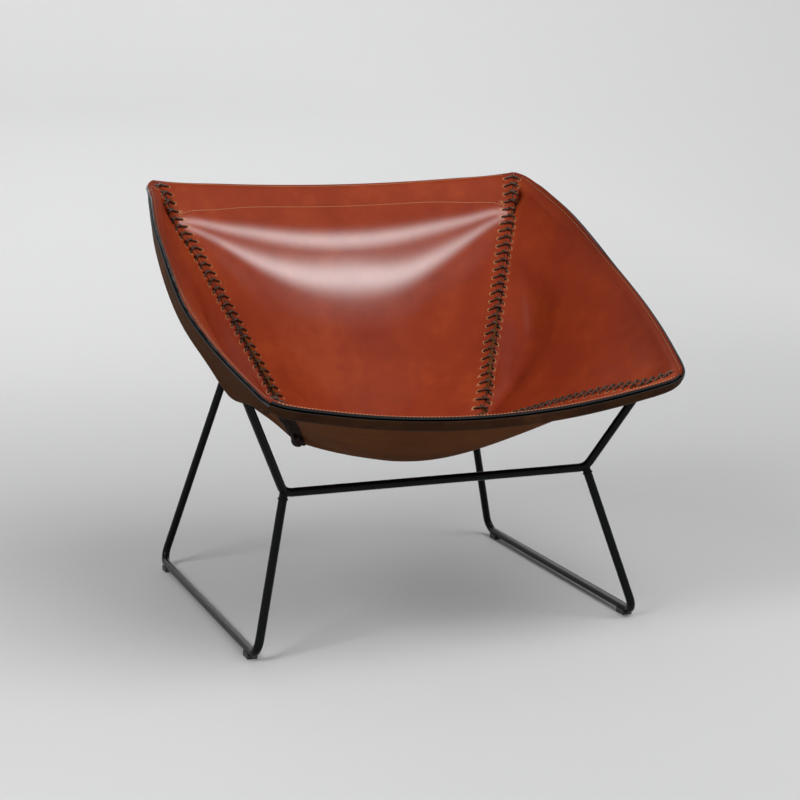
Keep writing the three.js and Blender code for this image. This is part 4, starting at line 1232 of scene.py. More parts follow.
def sewing_thread(name="Sewing thread", lightness=1.0):
    colours = setting("finish")
    material, t, shader, place = new_material(name, 0.7)
    wave = t.node("ShaderNodeTexWave", {
        "Vector": place, "Scale": 900.0, "Distortion": 2.0}, bands_direction="DIAGONAL").outputs["Fac"]
    # A lightness below 1 darkens the thread: painted shade along the side edges.
    pale = tuple(lightness * c for c in colours.thread)
    tone = t.weighted(wave, 0.5, t.noise(place, 90.0), 0.5)
    t.feed(shader, "Base Color", t.blend(tone, rgba(pale, 0.5), rgba(pale)))
    bumped(t, shader, wave, 0.4, 0.0003)
    return material


def frame_paint():
    colours = setting("finish")
    material, t, shader, place = new_material("Frame paint", Specular_IOR_Level=0.11)
    cloud = t.noise(place, 35.0, 5.0, 0.6)
    t.feed(shader, "Base Color", t.blend(cloud, rgba(colours.frame), rgba(colours.frame, 1.5)))
    t.feed(shader, "Roughness", t.ramp(cloud, 0.3, 0.7, 0.15, 0.22))
    bumped(t, shader, t.noise(place, 420.0, 2.0), 0.04, 0.0003)
    return material


def glide_plastic():
    colours = setting("finish")
    material, t, shader, place = new_material("Glide plastic", 0.55)
    speckle = t.noise(place, 1200.0, 3.0)
    t.feed(shader, "Base Color", t.blend(speckle, rgba(colours.glide), rgba(colours.glide, 1.7)))
    t.feed(shader, "Roughness", t.ramp(speckle, 0.3, 0.7, 0.45, 0.65))
    bumped(t, shader, speckle, 0.3, 0.0003)
    return material


def stage_floor():
    colours = setting("finish")
    material, t, shader, place = new_material("Stage floor", 0.75, Specular_IOR_Level=0.2)
    cloud = t.noise(place, 1.3, 3.0)
    t.feed(shader, "Base Color", t.blend(cloud, rgba(colours.floor, 0.97), rgba(colours.floor)))
    away = t.node("ShaderNodeVectorMath", {0: place}, operation="LENGTH").outputs["Value"]
    far = t.ramp(away, 1.0, 4.2, 0.0, 0.40)
    shader.inputs["Emission Color"].default_value = (1.0, 1.0, 1.0, 1.0)
    t.feed(shader, "Emission Strength", t.math("MULTIPLY", t.seen(), far))
    return material


FINISHES = {
    "leather": saddle_leather,
    "suede": suede_back,
    "edge": edge_paint,
    "strip": strip_leather,
    "lace": lace_leather,
    # The front strip is darkened all along as painted shade under the front edge.
    "front_strip_in_shade": lambda: strip_leather("Front strip leather in painted shade", 0.62),
    # Laces under the seat, the arms behind the leather and the knots, are darkened as painted shade.
    "knot": lambda: lace_leather("Lace leather in painted shade", 0.0),
    "thread": sewing_thread,
    # The side edges' thread is darkened as painted shade, where the edges turn away from the light.
    "thread_in_shade": lambda: sewing_thread("Sewing thread in painted shade", 0.45),
    "frame": frame_paint,
    "glide": glide_plastic,
    "floor": stage_floor,
}
MADE = {}


def finish_of(name):
    if name not in MADE:
        MADE[name] = FINISHES[name]()
    return MADE[name]


def bowl():
    """The leather's surfaces, worked out once."""
    if "bowl" not in MADE:
        MADE["bowl"] = Bowl()
    return MADE["bowl"]


# Frame


def frame_points():
    tube = setting("tube")
    half = tube.runner_length / 2
    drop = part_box("left_front_glide")[0].z
    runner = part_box("left_sled_leg")[0].z + tube.diameter / 2 - drop
    return {
        "front_foot": np.array([tube.runner_spread / 2, -half, runner]),
        "back_foot": np.array([tube.runner_spread / 2, half, runner]),
        "junction": np.array([tube.stretcher_span / 2, tube.stretcher_setback - half, tube.stretcher_height]),
        "rear": np.array([tube.rear_bar_span / 2, half - tube.rear_bar_setback, tube.rear_bar_height]),
    }


def whole_ring(rim):
    places = np.linspace(0.0, rim.runs[-1], RING_POINTS)
    half = rim.fine(places)[0]
    return np.concatenate([half, half[-2:0:-1] * FLIP])


def weld_bead(bm, place, along, radius, bead):
    """A round bead of weld about the end of a tube."""
    turn = Vector(along).to_track_quat("Z", "Y").to_matrix().to_4x4()
    move = Matrix.Translation(Vector(to_frame(place))) @ turn
    start = Matrix.Translation((radius, 0.0, 0.0)) @ Matrix.Rotation(math.pi / 2, 4, "X")
    made = bmesh.ops.create_circle(bm, segments=BEAD_FACETS, radius=bead, matrix=move @ start)
    edges = list(dict.fromkeys(e for v in made["verts"] for e in v.link_edges))
    bmesh.ops.spin(
        bm, geom=edges, cent=move.translation, axis=move.to_3x3() @ Vector((0.0, 0.0, 1.0)),
        angle=2 * math.pi, steps=WELD_STEPS, use_merge=True)


class CHAIR_OT_frame(Operator):
    """Makes the ring, the U rods, the sled legs and their welds as smooth painted tube"""

    bl_idname = "sling_chair.frame"
    bl_label = "Steel tube frame"

    def execute(self, context):
        tube, rim = setting("tube"), bowl().rim
        radius = tube.diameter / 2
        at = frame_points()
        front_top = rim.side_rail(rim.side_length - tube.front_rod_setback)
        rear_top = rim.line[BACK_SEAM]
        front = [front_top * FLIP, at["junction"] * FLIP, at["junction"], front_top]
        rear = [rear_top * FLIP, at["rear"] * FLIP, at["rear"], rear_top]
        leg = rod_line([at["junction"], at["front_foot"], at["back_foot"], at["rear"]], tube.foot_bend)
        paint = [finish_of("frame")]
        pieces = {
            "rim_ring": (whole_ring(rim), True),
            "front_u_rod": (rod_line(front, tube.stretcher_bend), False),
            "rear_u_rod": (rod_line(rear, tube.rear_bar_bend), False),
            "left_sled_leg": (leg * FLIP, False),
            "right_sled_leg": (leg, False),
        }
        for name, (line, closed) in pieces.items():
            mesh = tube_mesh(f"{name}_tube", [line], radius, closed=closed)
            add_piece(f"{name}_tube", mesh, paint, "frame_paint", name)
        self.welds(tube, at, radius, paint)
        return {"FINISHED"}

    @staticmethod
    def welds(tube, at, radius, paint):
        bm = bmesh.new()
        for side in (np.ones(3), FLIP):
            for top, foot in (("junction", "front_foot"), ("rear", "back_foot")):
                along = unit(at[foot] - at[top]) * side
                place = at[top] * side + along * (radius * WELD_PLACE)
                weld_bead(bm, place, along, radius * WELD_FIT, tube.weld_bead)
        bmesh.ops.recalc_face_normals(bm, faces=bm.faces)
        add_piece("frame_welds", finish_mesh("frame_welds", bm), paint, "frame_paint")


class CHAIR_OT_glides(Operator):
    """Makes the plastic saddles under the runners, with rounded edges"""

    bl_idname = "sling_chair.glides"
    bl_label = "Glides"

    def execute(self, context):
        for side in ("left", "right"):
            for end in ("front", "rear"):
                node = f"{side}_{end}_glide"
                bm = bmesh.new()
                bm.from_mesh(frame["nodes"][node].data)
                bmesh.ops.remove_doubles(bm, verts=bm.verts, dist=1e-6)
                self.trim(bm)
                self.round_off(bm)
                mesh = finish_mesh(f"{node}_saddle", bm, smooth_faces=False)
                add_piece(f"{node}_saddle", mesh, [finish_of("glide")], "glide_plastic", node)
        return {"FINISHED"}

    @staticmethod
    def round_off(bm):
        """Rounds a saddle's sharp edges, with its flat faces made whole first."""
        bmesh.ops.dissolve_limit(
            bm, angle_limit=math.radians(FLAT_ANGLE), verts=bm.verts, edges=bm.edges,
            use_dissolve_boundaries=False)
        least = math.radians(SHARP_ANGLE)
        sharp = [e for e in bm.edges if len(e.link_faces) == 2 and e.calc_face_angle() > least]
        bmesh.ops.bevel(
            bm, geom=sharp, offset=setting("tube").glide_bevel, offset_type="OFFSET", segments=3,
            profile=0.5, affect="EDGES", material=-1, clamp_overlap=True)

    @staticmethod
    def trim(bm):
        """Thins the sides of a saddle and cuts them off low beside the tube."""
        tube = setting("tube")
        places = [v.co.x for v in bm.verts]
        middle = (min(places) + max(places)) / 2
        half = tube.diameter / 2 + GLIDE_GAP + tube.glide_wall
        for v in bm.verts:
            v.co.x = min(max(v.co.x, middle - half), middle + half)
        top = min(v.co.z for v in bm.verts) + GLIDE_BASE + tube.glide_grip
        bmesh.ops.bisect_plane(
            bm, geom=[*bm.verts, *bm.edges, *bm.faces], plane_co=(0.0, 0.0, top),
            plane_no=(0.0, 0.0, 1.0), clear_outer=True)
        bmesh.ops.holes_fill(bm, edges=[e for e in bm.edges if e.is_boundary], sides=0)


# Leather


def stitch_runs(total):
    """Distances along a seam, from the rim edge, at which crossed stitches sit."""
    lacing = setting("lacing")
    return np.arange(lacing.start, total - lacing.tip_inset, lacing.pitch)


def seam_sides():
    """Both panels beside the right rear and right front seams, from the rim edge down."""
    made = bowl()
    tip = int(np.argmin(np.abs(made.seat_rows - made.row_knots[TIP_ROW])))
    near = slice(None, -NEAR_COLUMNS, -1)
    seat, seat_normals = made.seat[near], made.seat_normals[near]
    side, side_normals = made.side, made.side_normals
    return {
        "rear": (
            SeamSide(seat[:, :tip + 1], seat_normals[:, :tip + 1]),
            SeamSide(side[:NEAR_COLUMNS], side_normals[:NEAR_COLUMNS]),
        ),
        "front": (
            SeamSide(seat[:, :tip - 1:-1], seat_normals[:, :tip - 1:-1]),
            SeamSide(side[:-NEAR_COLUMNS - 1:-1], side_normals[:-NEAR_COLUMNS - 1:-1]),
        ),
    }


def seam_reaches(end):
    """How far from a seam the holes are, on the seat and on the side panel."""
    lacing = setting("lacing")
    return (lacing.reach if end == "rear" else lacing.side_reach), lacing.side_reach


def hole_places():
    """The punched holes on the right: for the seat and for the side panel."""
    lacing = setting("lacing")
    seat_holes, side_holes = [], []
    for end, (seat, side) in seam_sides().items():
        reaches = seam_reaches(end)
        for run in stitch_runs(seat.runs[-1]):
            seat_holes.append(seat.at(run + lacing.rise, reaches[0])[0])
            side_holes.append(side.at(run + lacing.rise, reaches[1])[0])
    return np.array(seat_holes), np.array(side_holes)


def nearest(points, places):
    """Distance from each point of a grid to the nearest of the places."""
    least = np.full(points.shape[:2], 1e9)
    for place in places:
        least = np.minimum(least, np.linalg.norm(points - place, axis=2))
    return least


def punched(points, normals, holes):
    """The grid with a dimple at each hole, and how near each corner is to a hole's rim."""
    radius = setting("lacing").hole
    away = nearest(points, holes)
    raised = RIM_HEIGHT * bump(radius * RIM_PLACE, radius * RIM_SPREAD, away)
    dimple = HOLE_DEPTH * bump(0.0, radius * HOLE_SPREAD, away) - raised
    rim = bump(radius * PALE_PLACE, radius * PALE_SPREAD, away)
    return points - normals * dimple[..., None], rim


class CHAIR_OT_panels(Operator):
    """Makes the centre panel and the two side panels of saddle leather"""

    bl_idname = "sling_chair.panels"
    bl_label = "Leather panels"

    def execute(self, context):
        made, leather = bowl(), setting("leather")
        seat_holes, side_holes = hole_places()
        both = np.concatenate([seat_holes, seat_holes * FLIP])
        seat, seat_rim = punched(made.seat, made.seat_normals, both)
        side, side_rim = punched(made.side, made.side_normals, side_holes)
        materials = [finish_of(key) for key in ("leather", "suede", "edge")]
        rows = np.minimum(made.seat_rows, made.seat_rows[-1] - made.seat_rows)
        columns = np.minimum(made.seat_columns, made.seat_columns[-1] - made.seat_columns)
        burnish_and_shade = self.burnish_and_shade(columns[:, None], rows[None, :], SEAT_EDGE_REACH)
        turn = self.faces_away(seat, made.seat_normals)
        values = {"burnish_and_shade": burnish_and_shade, "hole_rim": seat_rim, "polish": self.polish(made)}
        mesh = grid_mesh("centre_panel_leather", seat, values, turn)
        piece = add_piece("centre_panel_leather", mesh, materials, "saddle_leather", "centre_panel")
        thicken(piece, leather.thickness, PANEL_BEVEL)
        edges = np.linspace(0.0, 1.0, len(side))
        from_seam = np.minimum(edges, 1 - edges)[:, None] * SIDE_SPAN
        # Along the side edges this darkening is painted shade, beside real burnishing at the seams.
        burnish_and_shade = self.burnish_and_shade(from_seam, made.side_down[None, :], SIDE_EDGE_SHADE_REACH)
        # Painted shade: the right side panel darkens toward its front, away from the light.
        side_shade = smooth(*SIDE_SHADE_SPAN, edges)[:, None]
        values = {"hole_rim": side_rim, "polish": np.full(side.shape[:2], SIDE_POLISH)}
        for name, turned in BOTH_SIDES:
            values["burnish_and_shade"] = np.clip(burnish_and_shade + SIDE_SHADE_TONES[name] * side_shade, 0.0, 1.0)
            points = side * turned
            turn = self.faces_away(points, made.side_normals * turned)
            node = f"{name}_side_panel"
            mesh = grid_mesh(f"{node}_leather", points, values, turn, weld=True)
            piece = add_piece(f"{node}_leather", mesh, materials, "saddle_leather", node)
            thicken(piece, leather.thickness, PANEL_BEVEL)
        return {"FINISHED"}

    @staticmethod
    def burnish_and_shade(from_seam, from_edge, spread):
        """The leather is burnished darker along its cut edges and seams, with painted shade in a wider band
        along the side panels' edges.
        """
        edge = EDGE_DARK * np.exp(-from_edge / spread)
        return np.clip(edge + SEAM_DARK * np.exp(-from_seam / SEAM_REACH), 0.0, 1.0)

    @staticmethod
    def polish(made):
        """The upper back is rubbed glossy in two crescents that hang from the corners below the hem."""
        rightward = (2 * made.seat_columns / made.seat_columns[-1] - 1)[:, None]
        across = np.abs(rightward)
        below = made.seat_rows[None, :] - made.hem_line(across)
        upper = UPPER_HANG * (1 - across**UPPER_POWER)
        lower = LOWER_HANG * (1 - across**LOWER_POWER) + LOWER_DIP * bump(DIP_PLACE, DIP_SPREAD, rightward)

        def crescent(place, strength, fade, width, narrowing, power):
            narrowed = width * (1 - narrowing * across**power)
            return strength * (1 - fade * across**2) * bump(place, narrowed, below)

        high = crescent(upper, **UPPER_GLOSS)
        low = crescent(lower, **LOWER_GLOSS)
        low = low + TAIL_GLOSS * (1 - across**2) * bump(lower + TAIL_BELOW, TAIL_WIDTH, below)
        between = plateau((upper, upper + BETWEEN_RISE), (lower - BETWEEN_FALL, lower), below)
        gloss = np.maximum(high, low) + BETWEEN_GLOSS * (1 - across**2) * between
        return SIDE_POLISH + (1 - SIDE_POLISH) * np.clip(gloss, 0.0, 1.0)

    @staticmethod
    def faces_away(points, normals):
        face = np.cross(points[1, 0] - points[0, 0], points[0, 1] - points[0, 0])
        return float(face @ normals[0, 0]) < 0


def strip_section(flange, drop, width, slack, pouch):
    """Across the sleeve, the strip's outer face: up the leather, and along its inner normal."""
    leather, made = setting("leather"), bowl()
    outside = setting("tube").diameter / 2 + STRIP_CLEARANCE + leather.strip_thickness
    under = made.offset - leather.thickness / 2 - leather.clearance - leather.strip_thickness
    tail = -(made.hem_reach - leather.clearance) - POUCH_DOWN * pouch
    angles = np.radians(WRAP_ANGLES)
    hang = np.array([slack + pouch, slack + POUCH_OUT * pouch])
    wrap = outside * np.stack([np.cos(angles), np.sin(angles)], axis=1) - hang
    edge = np.array([flange, under - drop])
    bent = mix(edge, wrap[0], BEND_SHARE) + BEND_SHIFT
    turn = (TAIL_SHARE * tail, under - TAIL_SHIFT - POUCH_TURN * pouch)
    path = np.array([edge, bent, *wrap, turn, (tail, under - POUCH_END * pouch)])
    knots = runs_along(path)
    places = np.interp(np.linspace(0.0, 1.0, STRIP_POINTS) * width, np.linspace(0.0, 1.0, len(knots)), knots)
    return cubic_weights(knots, places) @ path


class CHAIR_OT_strips(Operator):
    """Makes the four strips that close the sleeves round the ring"""

    bl_idname = "sling_chair.strips"
    bl_label = "Sleeve strips"

    def execute(self, context):
        made, leather = bowl(), setting("leather")
        runs = made.rim.runs
        seams = runs[BACK_SEAM], runs[FRONT_SEAM]
        bends = [runs[k] for k in (
            RAIL_HALF_STEPS, BACK_SEAM + CORNER_HALF_STEPS,
            FRONT_SEAM - CORNER_HALF_STEPS, LAST - RAIL_HALF_STEPS)]
        places = np.linspace(0.0, seams[0] - STRIP_GAP, END_POINTS)
        drops = made.back_drop(places / seams[0])
        half_back = self.sleeve(places, drops, 1 - self.narrowed(places, bends[0]), made.tucked_under(places))
        places = np.linspace(seams[1] + STRIP_GAP, runs[-1], END_POINTS)
        drops = np.full(END_POINTS, leather.front_drop)
        half_front = self.sleeve(places, drops, self.narrowed(places, bends[3], 0.0), np.zeros(END_POINTS))
        places = np.linspace(seams[0] + STRIP_GAP, seams[1] - STRIP_GAP, SIDE_POINTS)
        part = (places - seams[0]) / (seams[1] - seams[0])
        drops = made.side_drop(part)
        slack = leather.side_slack * plateau(SLACK_RISE, SLACK_FALL, part)
        wide = self.narrowed(places, bends[1], 0.0) * (1 - self.narrowed(places, bends[2]))
        offs = np.interp(places, made.side_places, made.side_off)
        pouch = leather.pouch * bump(POUCH_PLACE, POUCH_SPREAD, part)
        lip = leather.lip * plateau(LIP_RISE, LIP_FALL, part)
        side = self.sleeve(places, drops, wide, offs, slack, pouch, lip)
        whole_back = np.concatenate([half_back[:0:-1] * FLIP, half_back])
        whole_front = np.concatenate([half_front, half_front[-2::-1] * FLIP])
        self.strip("back_sleeve_strip", whole_back, (0.70, 0.062))
        self.strip("front_sleeve_strip", whole_front, (0.72, 0.060))
        # Painted shade: the side strips darken toward the front, where they turn under the seat.
        strip_shade = smooth(*STRIP_SHADE_SPAN, part)
        self.strip("right_sleeve_strip", side, (0.77, 0.071), strip_shade)
        self.strip("left_sleeve_strip", side * FLIP, (0.77, 0.071), strip_shade)
        return {"FINISHED"}

    @staticmethod
    def narrowed(places, bend, ahead=WELT_EASE):
        """From 0 before a bend to 1 after it; the strip narrows to a welt round the corner."""
        return smooth(bend - WELT_EASE + ahead, bend + ahead, places)

    @staticmethod
    def sleeve(places, drops, wide, offs, slack=0.0, pouch=0.0, lip=0.0):
        """The strip's outer face along the ring; slack lets it hang off the tube, and pouch lower."""
        made = bowl()
        centre, up, inner = made.rim.fine(places)
        flanges = made.flange_at(np.interp(places, made.rim.runs, np.arange(LAST + 1))) + lip
        low = smooth(*STRIP_LOW, np.linspace(0.0, 1.0, STRIP_POINTS))
        loose, deep = np.broadcast_to(slack, places.shape), np.broadcast_to(pouch, places.shape)
        rows = []
        for k, here in enumerate(centre):
            width = mix(WELT_SHARE, 1.0, wide[k])
            section = strip_section(flanges[k], drops[k], width, loose[k], deep[k])
            section[:, 1] += low * wide[k] * offs[k]
            rows.append(here + np.outer(section[:, 0], up[k]) + np.outer(section[:, 1], inner[k]))
        return np.array(rows)

    @staticmethod
    def strip(node, points, flat, strip_shade=0.0):
        station, middle = points.shape[0] // 2, points.shape[1] // 2
        here = points[station]
        outward = here[middle] - (here[0] + here[-1]) / 2
        face = np.cross(points[station + 1, middle] - here[middle], here[middle + 1] - here[middle])
        burnish_and_shade = np.zeros(points.shape[:2]) + np.reshape(strip_shade, (-1, 1))
        mesh = grid_mesh(f"{node}_leather", points, {"burnish_and_shade": burnish_and_shade}, float(face @ outward) < 0)
        finish = finish_of("front_strip_in_shade" if node.startswith("front") else "strip")
        materials = [finish, finish, finish_of("edge")]
        piece = add_piece(f"{node}_leather", mesh, materials, "strip_leather", node)
        thicken(piece, setting("leather").strip_thickness, STRIP_BEVEL)


def crossed_arm(hole_side, far_side, run, reach, lift):
    """One arm of a crossed stitch: out of its hole, over the seam, and down past it."""
    lacing = setting("lacing")
    lace, rise = lacing.lace, lacing.rise
    # Each step: the panel, the shift along the seam, the distance from it, and the height in lace diameters
    steps = [
        (hole_side, rise, reach + 0.0004, -0.9),
        (hole_side, rise, reach - 0.0008, 0.12),
        (hole_side, 0.7 * rise, 0.78 * reach, 0.45),
        (hole_side, 0.2 * rise, 0.42 * reach, 0.52),
        (hole_side, -0.2 * rise, 0.08 * reach, 0.62 + lift),
        (far_side, -0.55 * rise, 0.20 * reach, 0.52 + 0.5 * lift),
        (far_side, -0.95 * rise, 0.40 * reach, 0.30),
        (far_side, -1.1 * rise, 0.48 * reach, -0.7),
    ]
    line = []
    for side, shift, distance, height in steps:
        point, normal = side.at(max(run + shift, 0.0), distance)
        line.append(point + normal * (height * lace))
    return smooth_line(line, 3)


def under_arm(side, run, reach):
    """The lace behind the leather, from a hole to the seam."""
    lacing, leather = setting("lacing"), setting("leather")
    back = -leather.thickness - 0.5 * lacing.lace
    # Each step: the shift along the seam, the distance from it, and the height over the good side
    steps = [
        (lacing.rise, reach, back + lacing.lace),
        (lacing.rise, reach, back),
        (0.5 * lacing.rise, 0.5 * reach, back - 0.0006),
        (0.0, 0.001, back),
        (0.0, 0.0, back + lacing.lace),
    ]
    line = []
    for shift, distance, height in steps:
        point, normal = side.at(run + shift, distance)
        line.append(point + normal * height)
    return smooth_line(line, 2)


def seam_strand(seat, side, runs):
    """The lace between stitches, sunk in the seam's gap."""
    lacing = setting("lacing")
    line = []
    for run in runs:
        for shift, height in ((0.0, -0.50), (0.5 * lacing.pitch, -0.72)):
            first, normal = seat.at(run + shift, 0.0)
            second, other = side.at(run + shift, 0.0)
            line.append((first + second) / 2 + unit(normal + other) * (height * lacing.lace))
    return smooth_line(line, 3)


class CHAIR_OT_laces(Operator):
    """Makes the crossed lacing along the four seams"""

    bl_idname = "sling_chair.laces"
    bl_label = "Laces"

    def execute(self, context):
        lacing = setting("lacing")
        for end, (seat, side) in seam_sides().items():
            runs = stitch_runs(seat.runs[-1])
            reaches = seam_reaches(end)
            lines, behind = [seam_strand(seat, side, runs)], []
            for run in runs:
                lines.append(crossed_arm(seat, side, run, reaches[0], 0.0))
                lines.append(crossed_arm(side, seat, run, reaches[1], SECOND_LIFT))
                behind.append(under_arm(seat, run, reaches[0]))
                behind.append(under_arm(side, run, reaches[1]))
            for name, turned in BOTH_SIDES:
                node = f"{name}_{end}_lace"
                front, back = (
                    tube_mesh(f"{node}_cord", [line * turned for line in part], lacing.lace / 2, sides=8)
                    for part in (lines, behind))
                # The arms behind the leather take the darker lace, painted shade under the seat.
                materials = [finish_of("lace"), finish_of("knot")]
                add_piece(f"{node}_cord", joined(front, back), materials, "lace_leather", node)
        return {"FINISHED"}


class CHAIR_OT_knots(Operator):
    """Makes the knots that end the laces under the seat"""

    bl_idname = "sling_chair.knots"
    bl_label = "Lace knots"

    def execute(self, context):
        lace, thickness = setting("lacing").lace, setting("leather").thickness
        seat, side = seam_sides()["front"]
        along = np.linspace(*KNOT_ENDS, KNOT_POINTS)
        radius = KNOT_RADIUS + KNOT_SWELL * bump(sum(KNOT_ENDS) / 2, KNOT_SWELL_LENGTH, along)
        axis, out = [], []
        for distance, round_ in zip(along, radius):
            first, normal = seat.at(seat.runs[-1] - distance, 0.0)
            second, other = side.at(side.runs[-1] - distance, 0.0)
            out.append(-unit(normal + other))
            axis.append((first + second) / 2 + out[-1] * (thickness + lace + round_ * KNOT_STANDS))
        axis, out = np.array(axis), np.array(out)
        ahead = unit(np.gradient(axis, axis=0))
        out = unit(out - ahead * (out * ahead).sum(axis=1, keepdims=True))
        across = np.cross(ahead, out)
        turn = 2 * math.pi * along / KNOT_PITCH
        spread = (radius - lace / 2)[:, None]
        wrap = axis + spread * (out * np.cos(turn)[:, None] + across * np.sin(turn)[:, None])
        lines = [wrap, axis[::CORE_EVERY]]
        for name, turned in BOTH_SIDES:
            node = f"{name}_lace_knot"
            mesh = tube_mesh(f"{node}_wrap", [line * turned for line in lines], lace / 2, sides=8)
            # The knot takes the darker lace, painted shade under the seat.
            add_piece(f"{node}_wrap", mesh, [finish_of("knot")], "lace_leather", node)
        return {"FINISHED"}


def sewn_line(name, points, normals, free_ends, finish="thread"):
    """Separate stitches of thread along a line on the leather."""
    lacing = setting("lacing")
    runs = runs_along(points)
    bm = bmesh.new()
    for run in np.arange(free_ends[0], runs[-1] - free_ends[1], lacing.stitch_pitch):
        here = along_line(run, runs, points)
        normal = unit(along_line(run, runs, normals))
        along = unit(along_line(run + THREAD_AHEAD, runs, points) - here)
        across = np.cross(normal, along)
        turn = Matrix(np.stack([along, across, normal], axis=1).tolist()).to_4x4()
        place = Matrix.Translation(Vector(to_frame(here + normal * lacing.thread * THREAD_STANDS)))
        size = Matrix.Diagonal((lacing.stitch / 2, lacing.thread / 2, lacing.thread / 2, 1.0))
        bmesh.ops.create_uvsphere(
            bm, u_segments=STITCH_FACETS, v_segments=STITCH_FACETS, radius=1.0, matrix=place @ turn @ size)
    mesh = finish_mesh(f"{name}_stitches", bm)
    add_piece(f"{name}_stitches", mesh, [finish_of(finish)], "sewing_thread", f"{name}_thread")


class CHAIR_OT_threads(Operator):
    """Makes the sewn stitches along the rim edges and the back hem"""

    bl_idname = "sling_chair.threads"
    bl_label = "Sewing thread"

    def execute(self, context):
        made, lacing = bowl(), setting("lacing")
        edge = int(np.argmin(np.abs(made.bands - lacing.edge_inset)))
        hem = made.hem_line(2 * made.seat_columns / made.seat_columns[-1] - 1) - lacing.hem_inset
        seat, seat_normals = made.seat, made.seat_normals
        side, side_normals = made.side, made.side_normals
        end = seat.shape[1] - 1 - edge
        sewn_line("back_edge", seat[:, edge], seat_normals[:, edge], FREE_ENDS["back_edge"])
        line, normals = (self.along_rows(grid, made.seat_rows, hem) for grid in (seat, seat_normals))
        sewn_line("back_hem", line, normals, FREE_ENDS["back_hem"])
        sewn_line("front_edge", seat[:, end], seat_normals[:, end], FREE_ENDS["front_edge"])
        for name, turned in BOTH_SIDES:
            sewn_line(
                f"{name}_edge", side[:, edge] * turned, side_normals[:, edge] * turned,
                FREE_ENDS["side_edge"], "thread_in_shade")
        return {"FINISHED"}

    @staticmethod
    def along_rows(grid, rows, places):
        """One point of each column of a grid, at its own place down the rows."""
        return np.array([along_line(place, rows, column) for column, place in zip(grid, places)])


# Stage


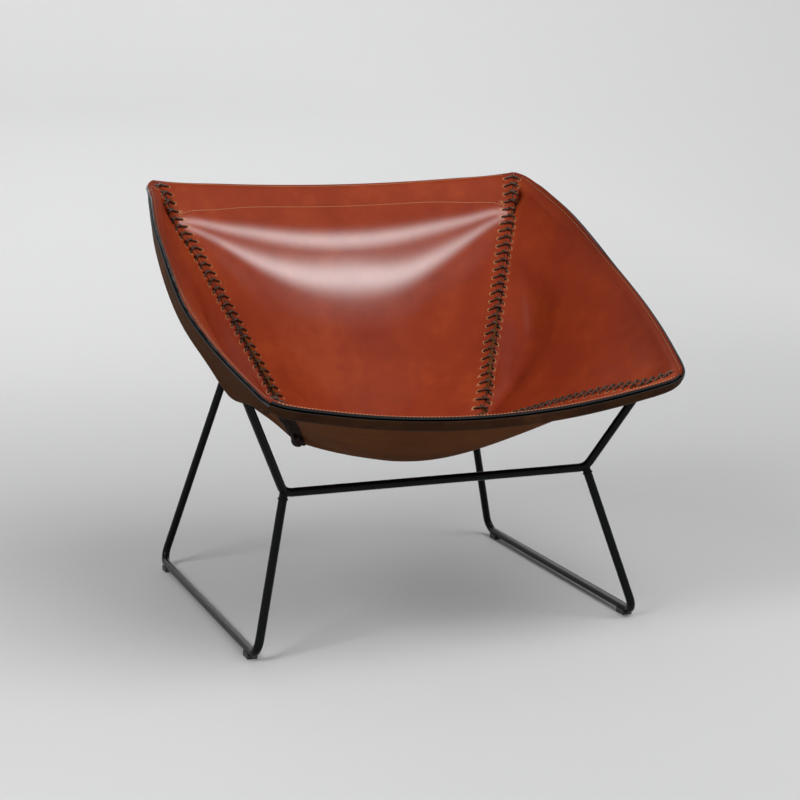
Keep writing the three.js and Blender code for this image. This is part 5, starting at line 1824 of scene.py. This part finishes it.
class CHAIR_OT_stage(Operator):
    """Makes the pale floor and backdrop, the soft lights and the camera"""

    bl_idname = "sling_chair.stage"
    bl_label = "Stage"

    def execute(self, context):
        self.floor()
        self.lights()
        self.camera(context)
        context.scene.view_settings.view_transform = "Standard"
        return {"FINISHED"}

    @staticmethod
    def floor():
        bm = bmesh.new()
        bmesh.ops.create_grid(bm, x_segments=1, y_segments=1, size=1.0)
        bmesh.ops.scale(bm, vec=(*FLOOR_HALF, 1.0), verts=bm.verts)
        bmesh.ops.translate(bm, vec=(0.0, FLOOR_BACK - FLOOR_HALF[1], 0.0), verts=bm.verts)
        back = [e for e in bm.edges if all(v.co.y > 0.0 for v in e.verts)]
        raised = bmesh.ops.extrude_edge_only(bm, edges=back)["geom"]
        tops = [g for g in raised if isinstance(g, bmesh.types.BMVert)]
        bmesh.ops.translate(bm, vec=(0.0, 0.0, WALL_HEIGHT), verts=tops)
        fold = [e for e in bm.edges if all(v.co.y > 0.0 and v.co.z < WALL_HEIGHT / 2 for v in e.verts)]
        bmesh.ops.bevel(
            bm, geom=fold, offset=COVE_RADIUS, offset_type="OFFSET", segments=COVE_STEPS, profile=0.5,
            affect="EDGES", material=-1)
        bmesh.ops.recalc_face_normals(bm, faces=bm.faces)
        floor = bpy.data.objects.new("stage_floor", finish_mesh("stage_floor", bm))
        bpy.context.scene.collection.objects.link(floor)
        floor.data.materials.append(finish_of("floor"))

    @staticmethod
    def lamp(name, place, aim, size, power):
        data = bpy.data.lights.new(name, "AREA")
        data.shape = "RECTANGLE"
        data.size, data.size_y = size
        data.energy = power
        lamp = bpy.data.objects.new(name, data)
        lamp.location = place
        lamp.rotation_euler = (Vector(aim) - Vector(place)).to_track_quat("-Z", "Y").to_euler()
        bpy.context.scene.collection.objects.link(lamp)

    def lights(self):
        world = bpy.data.worlds.new("studio")
        bpy.context.scene.world = world
        world.use_nodes = True
        shade = world.node_tree.nodes["Background"]
        shade.inputs["Color"].default_value = SKY
        t = Tree(world.node_tree)
        t.feed(shade, "Strength", t.ramp(t.seen(), 0.0, 1.0, SKY_LIGHT, SKY_SEEN))
        turn, rise = math.radians(SOFT_LAMP["turn"]), math.radians(SOFT_LAMP["rise"])
        way = Vector((math.sin(turn) * math.cos(rise), -math.cos(turn) * math.cos(rise), math.sin(rise)))
        place = BACK_CENTRE + SOFT_LAMP["distance"] * way
        self.lamp("soft_front", place, BACK_CENTRE, SOFT_LAMP["size"], SOFT_LAMP["power"])
        for name, values in LAMPS.items():
            self.lamp(name, *values)

    @staticmethod
    def camera(context):
        stage = setting("stage")
        data = bpy.data.cameras.new("camera")
        data.sensor_width = 36.0
        data.lens = stage.lens
        camera = bpy.data.objects.new("camera", data)
        camera.location = (stage.camera_x, stage.camera_y + CENTRE_Y, stage.camera_z)
        camera.rotation_euler = (math.pi / 2 - stage.pitch, 0.0, -stage.yaw)
        context.scene.collection.objects.link(camera)
        context.scene.camera = camera


OPERATORS = (
    CHAIR_OT_stage,
    CHAIR_OT_frame,
    CHAIR_OT_glides,
    CHAIR_OT_panels,
    CHAIR_OT_strips,
    CHAIR_OT_laces,
    CHAIR_OT_knots,
    CHAIR_OT_threads,
)


class CHAIR_PT_pieces(Panel):
    """Lists the chair's pieces and the sizes they are made to"""

    bl_idname = "CHAIR_PT_pieces"
    bl_label = "Sling chair"
    bl_space_type = "VIEW_3D"
    bl_region_type = "UI"
    bl_category = "Sling Chair"

    def draw(self, context):
        for operator in OPERATORS:
            self.layout.operator(operator.bl_idname)
        for name in SETTINGS:
            group = getattr(context.scene, name)
            box = self.layout.box()
            for key in group.bl_rna.properties.keys():
                if key not in ("rna_type", "name"):
                    box.prop(group, key)


CLASSES = (*SETTINGS.values(), *OPERATORS, CHAIR_PT_pieces)


def register():
    for cls in CLASSES:
        bpy.utils.register_class(cls)
    for name, group in SETTINGS.items():
        setattr(bpy.types.Scene, name, PointerProperty(type=group))


def unregister():
    for name in SETTINGS:
        delattr(bpy.types.Scene, name)
    for cls in reversed(CLASSES):
        bpy.utils.unregister_class(cls)


def main():
    register()
    bpy.ops.sling_chair.stage()
    bpy.ops.sling_chair.frame()
    bpy.ops.sling_chair.glides()
    bpy.ops.sling_chair.panels()
    bpy.ops.sling_chair.strips()
    bpy.ops.sling_chair.laces()
    bpy.ops.sling_chair.knots()
    bpy.ops.sling_chair.threads()


if __name__ == "__main__":
    main()
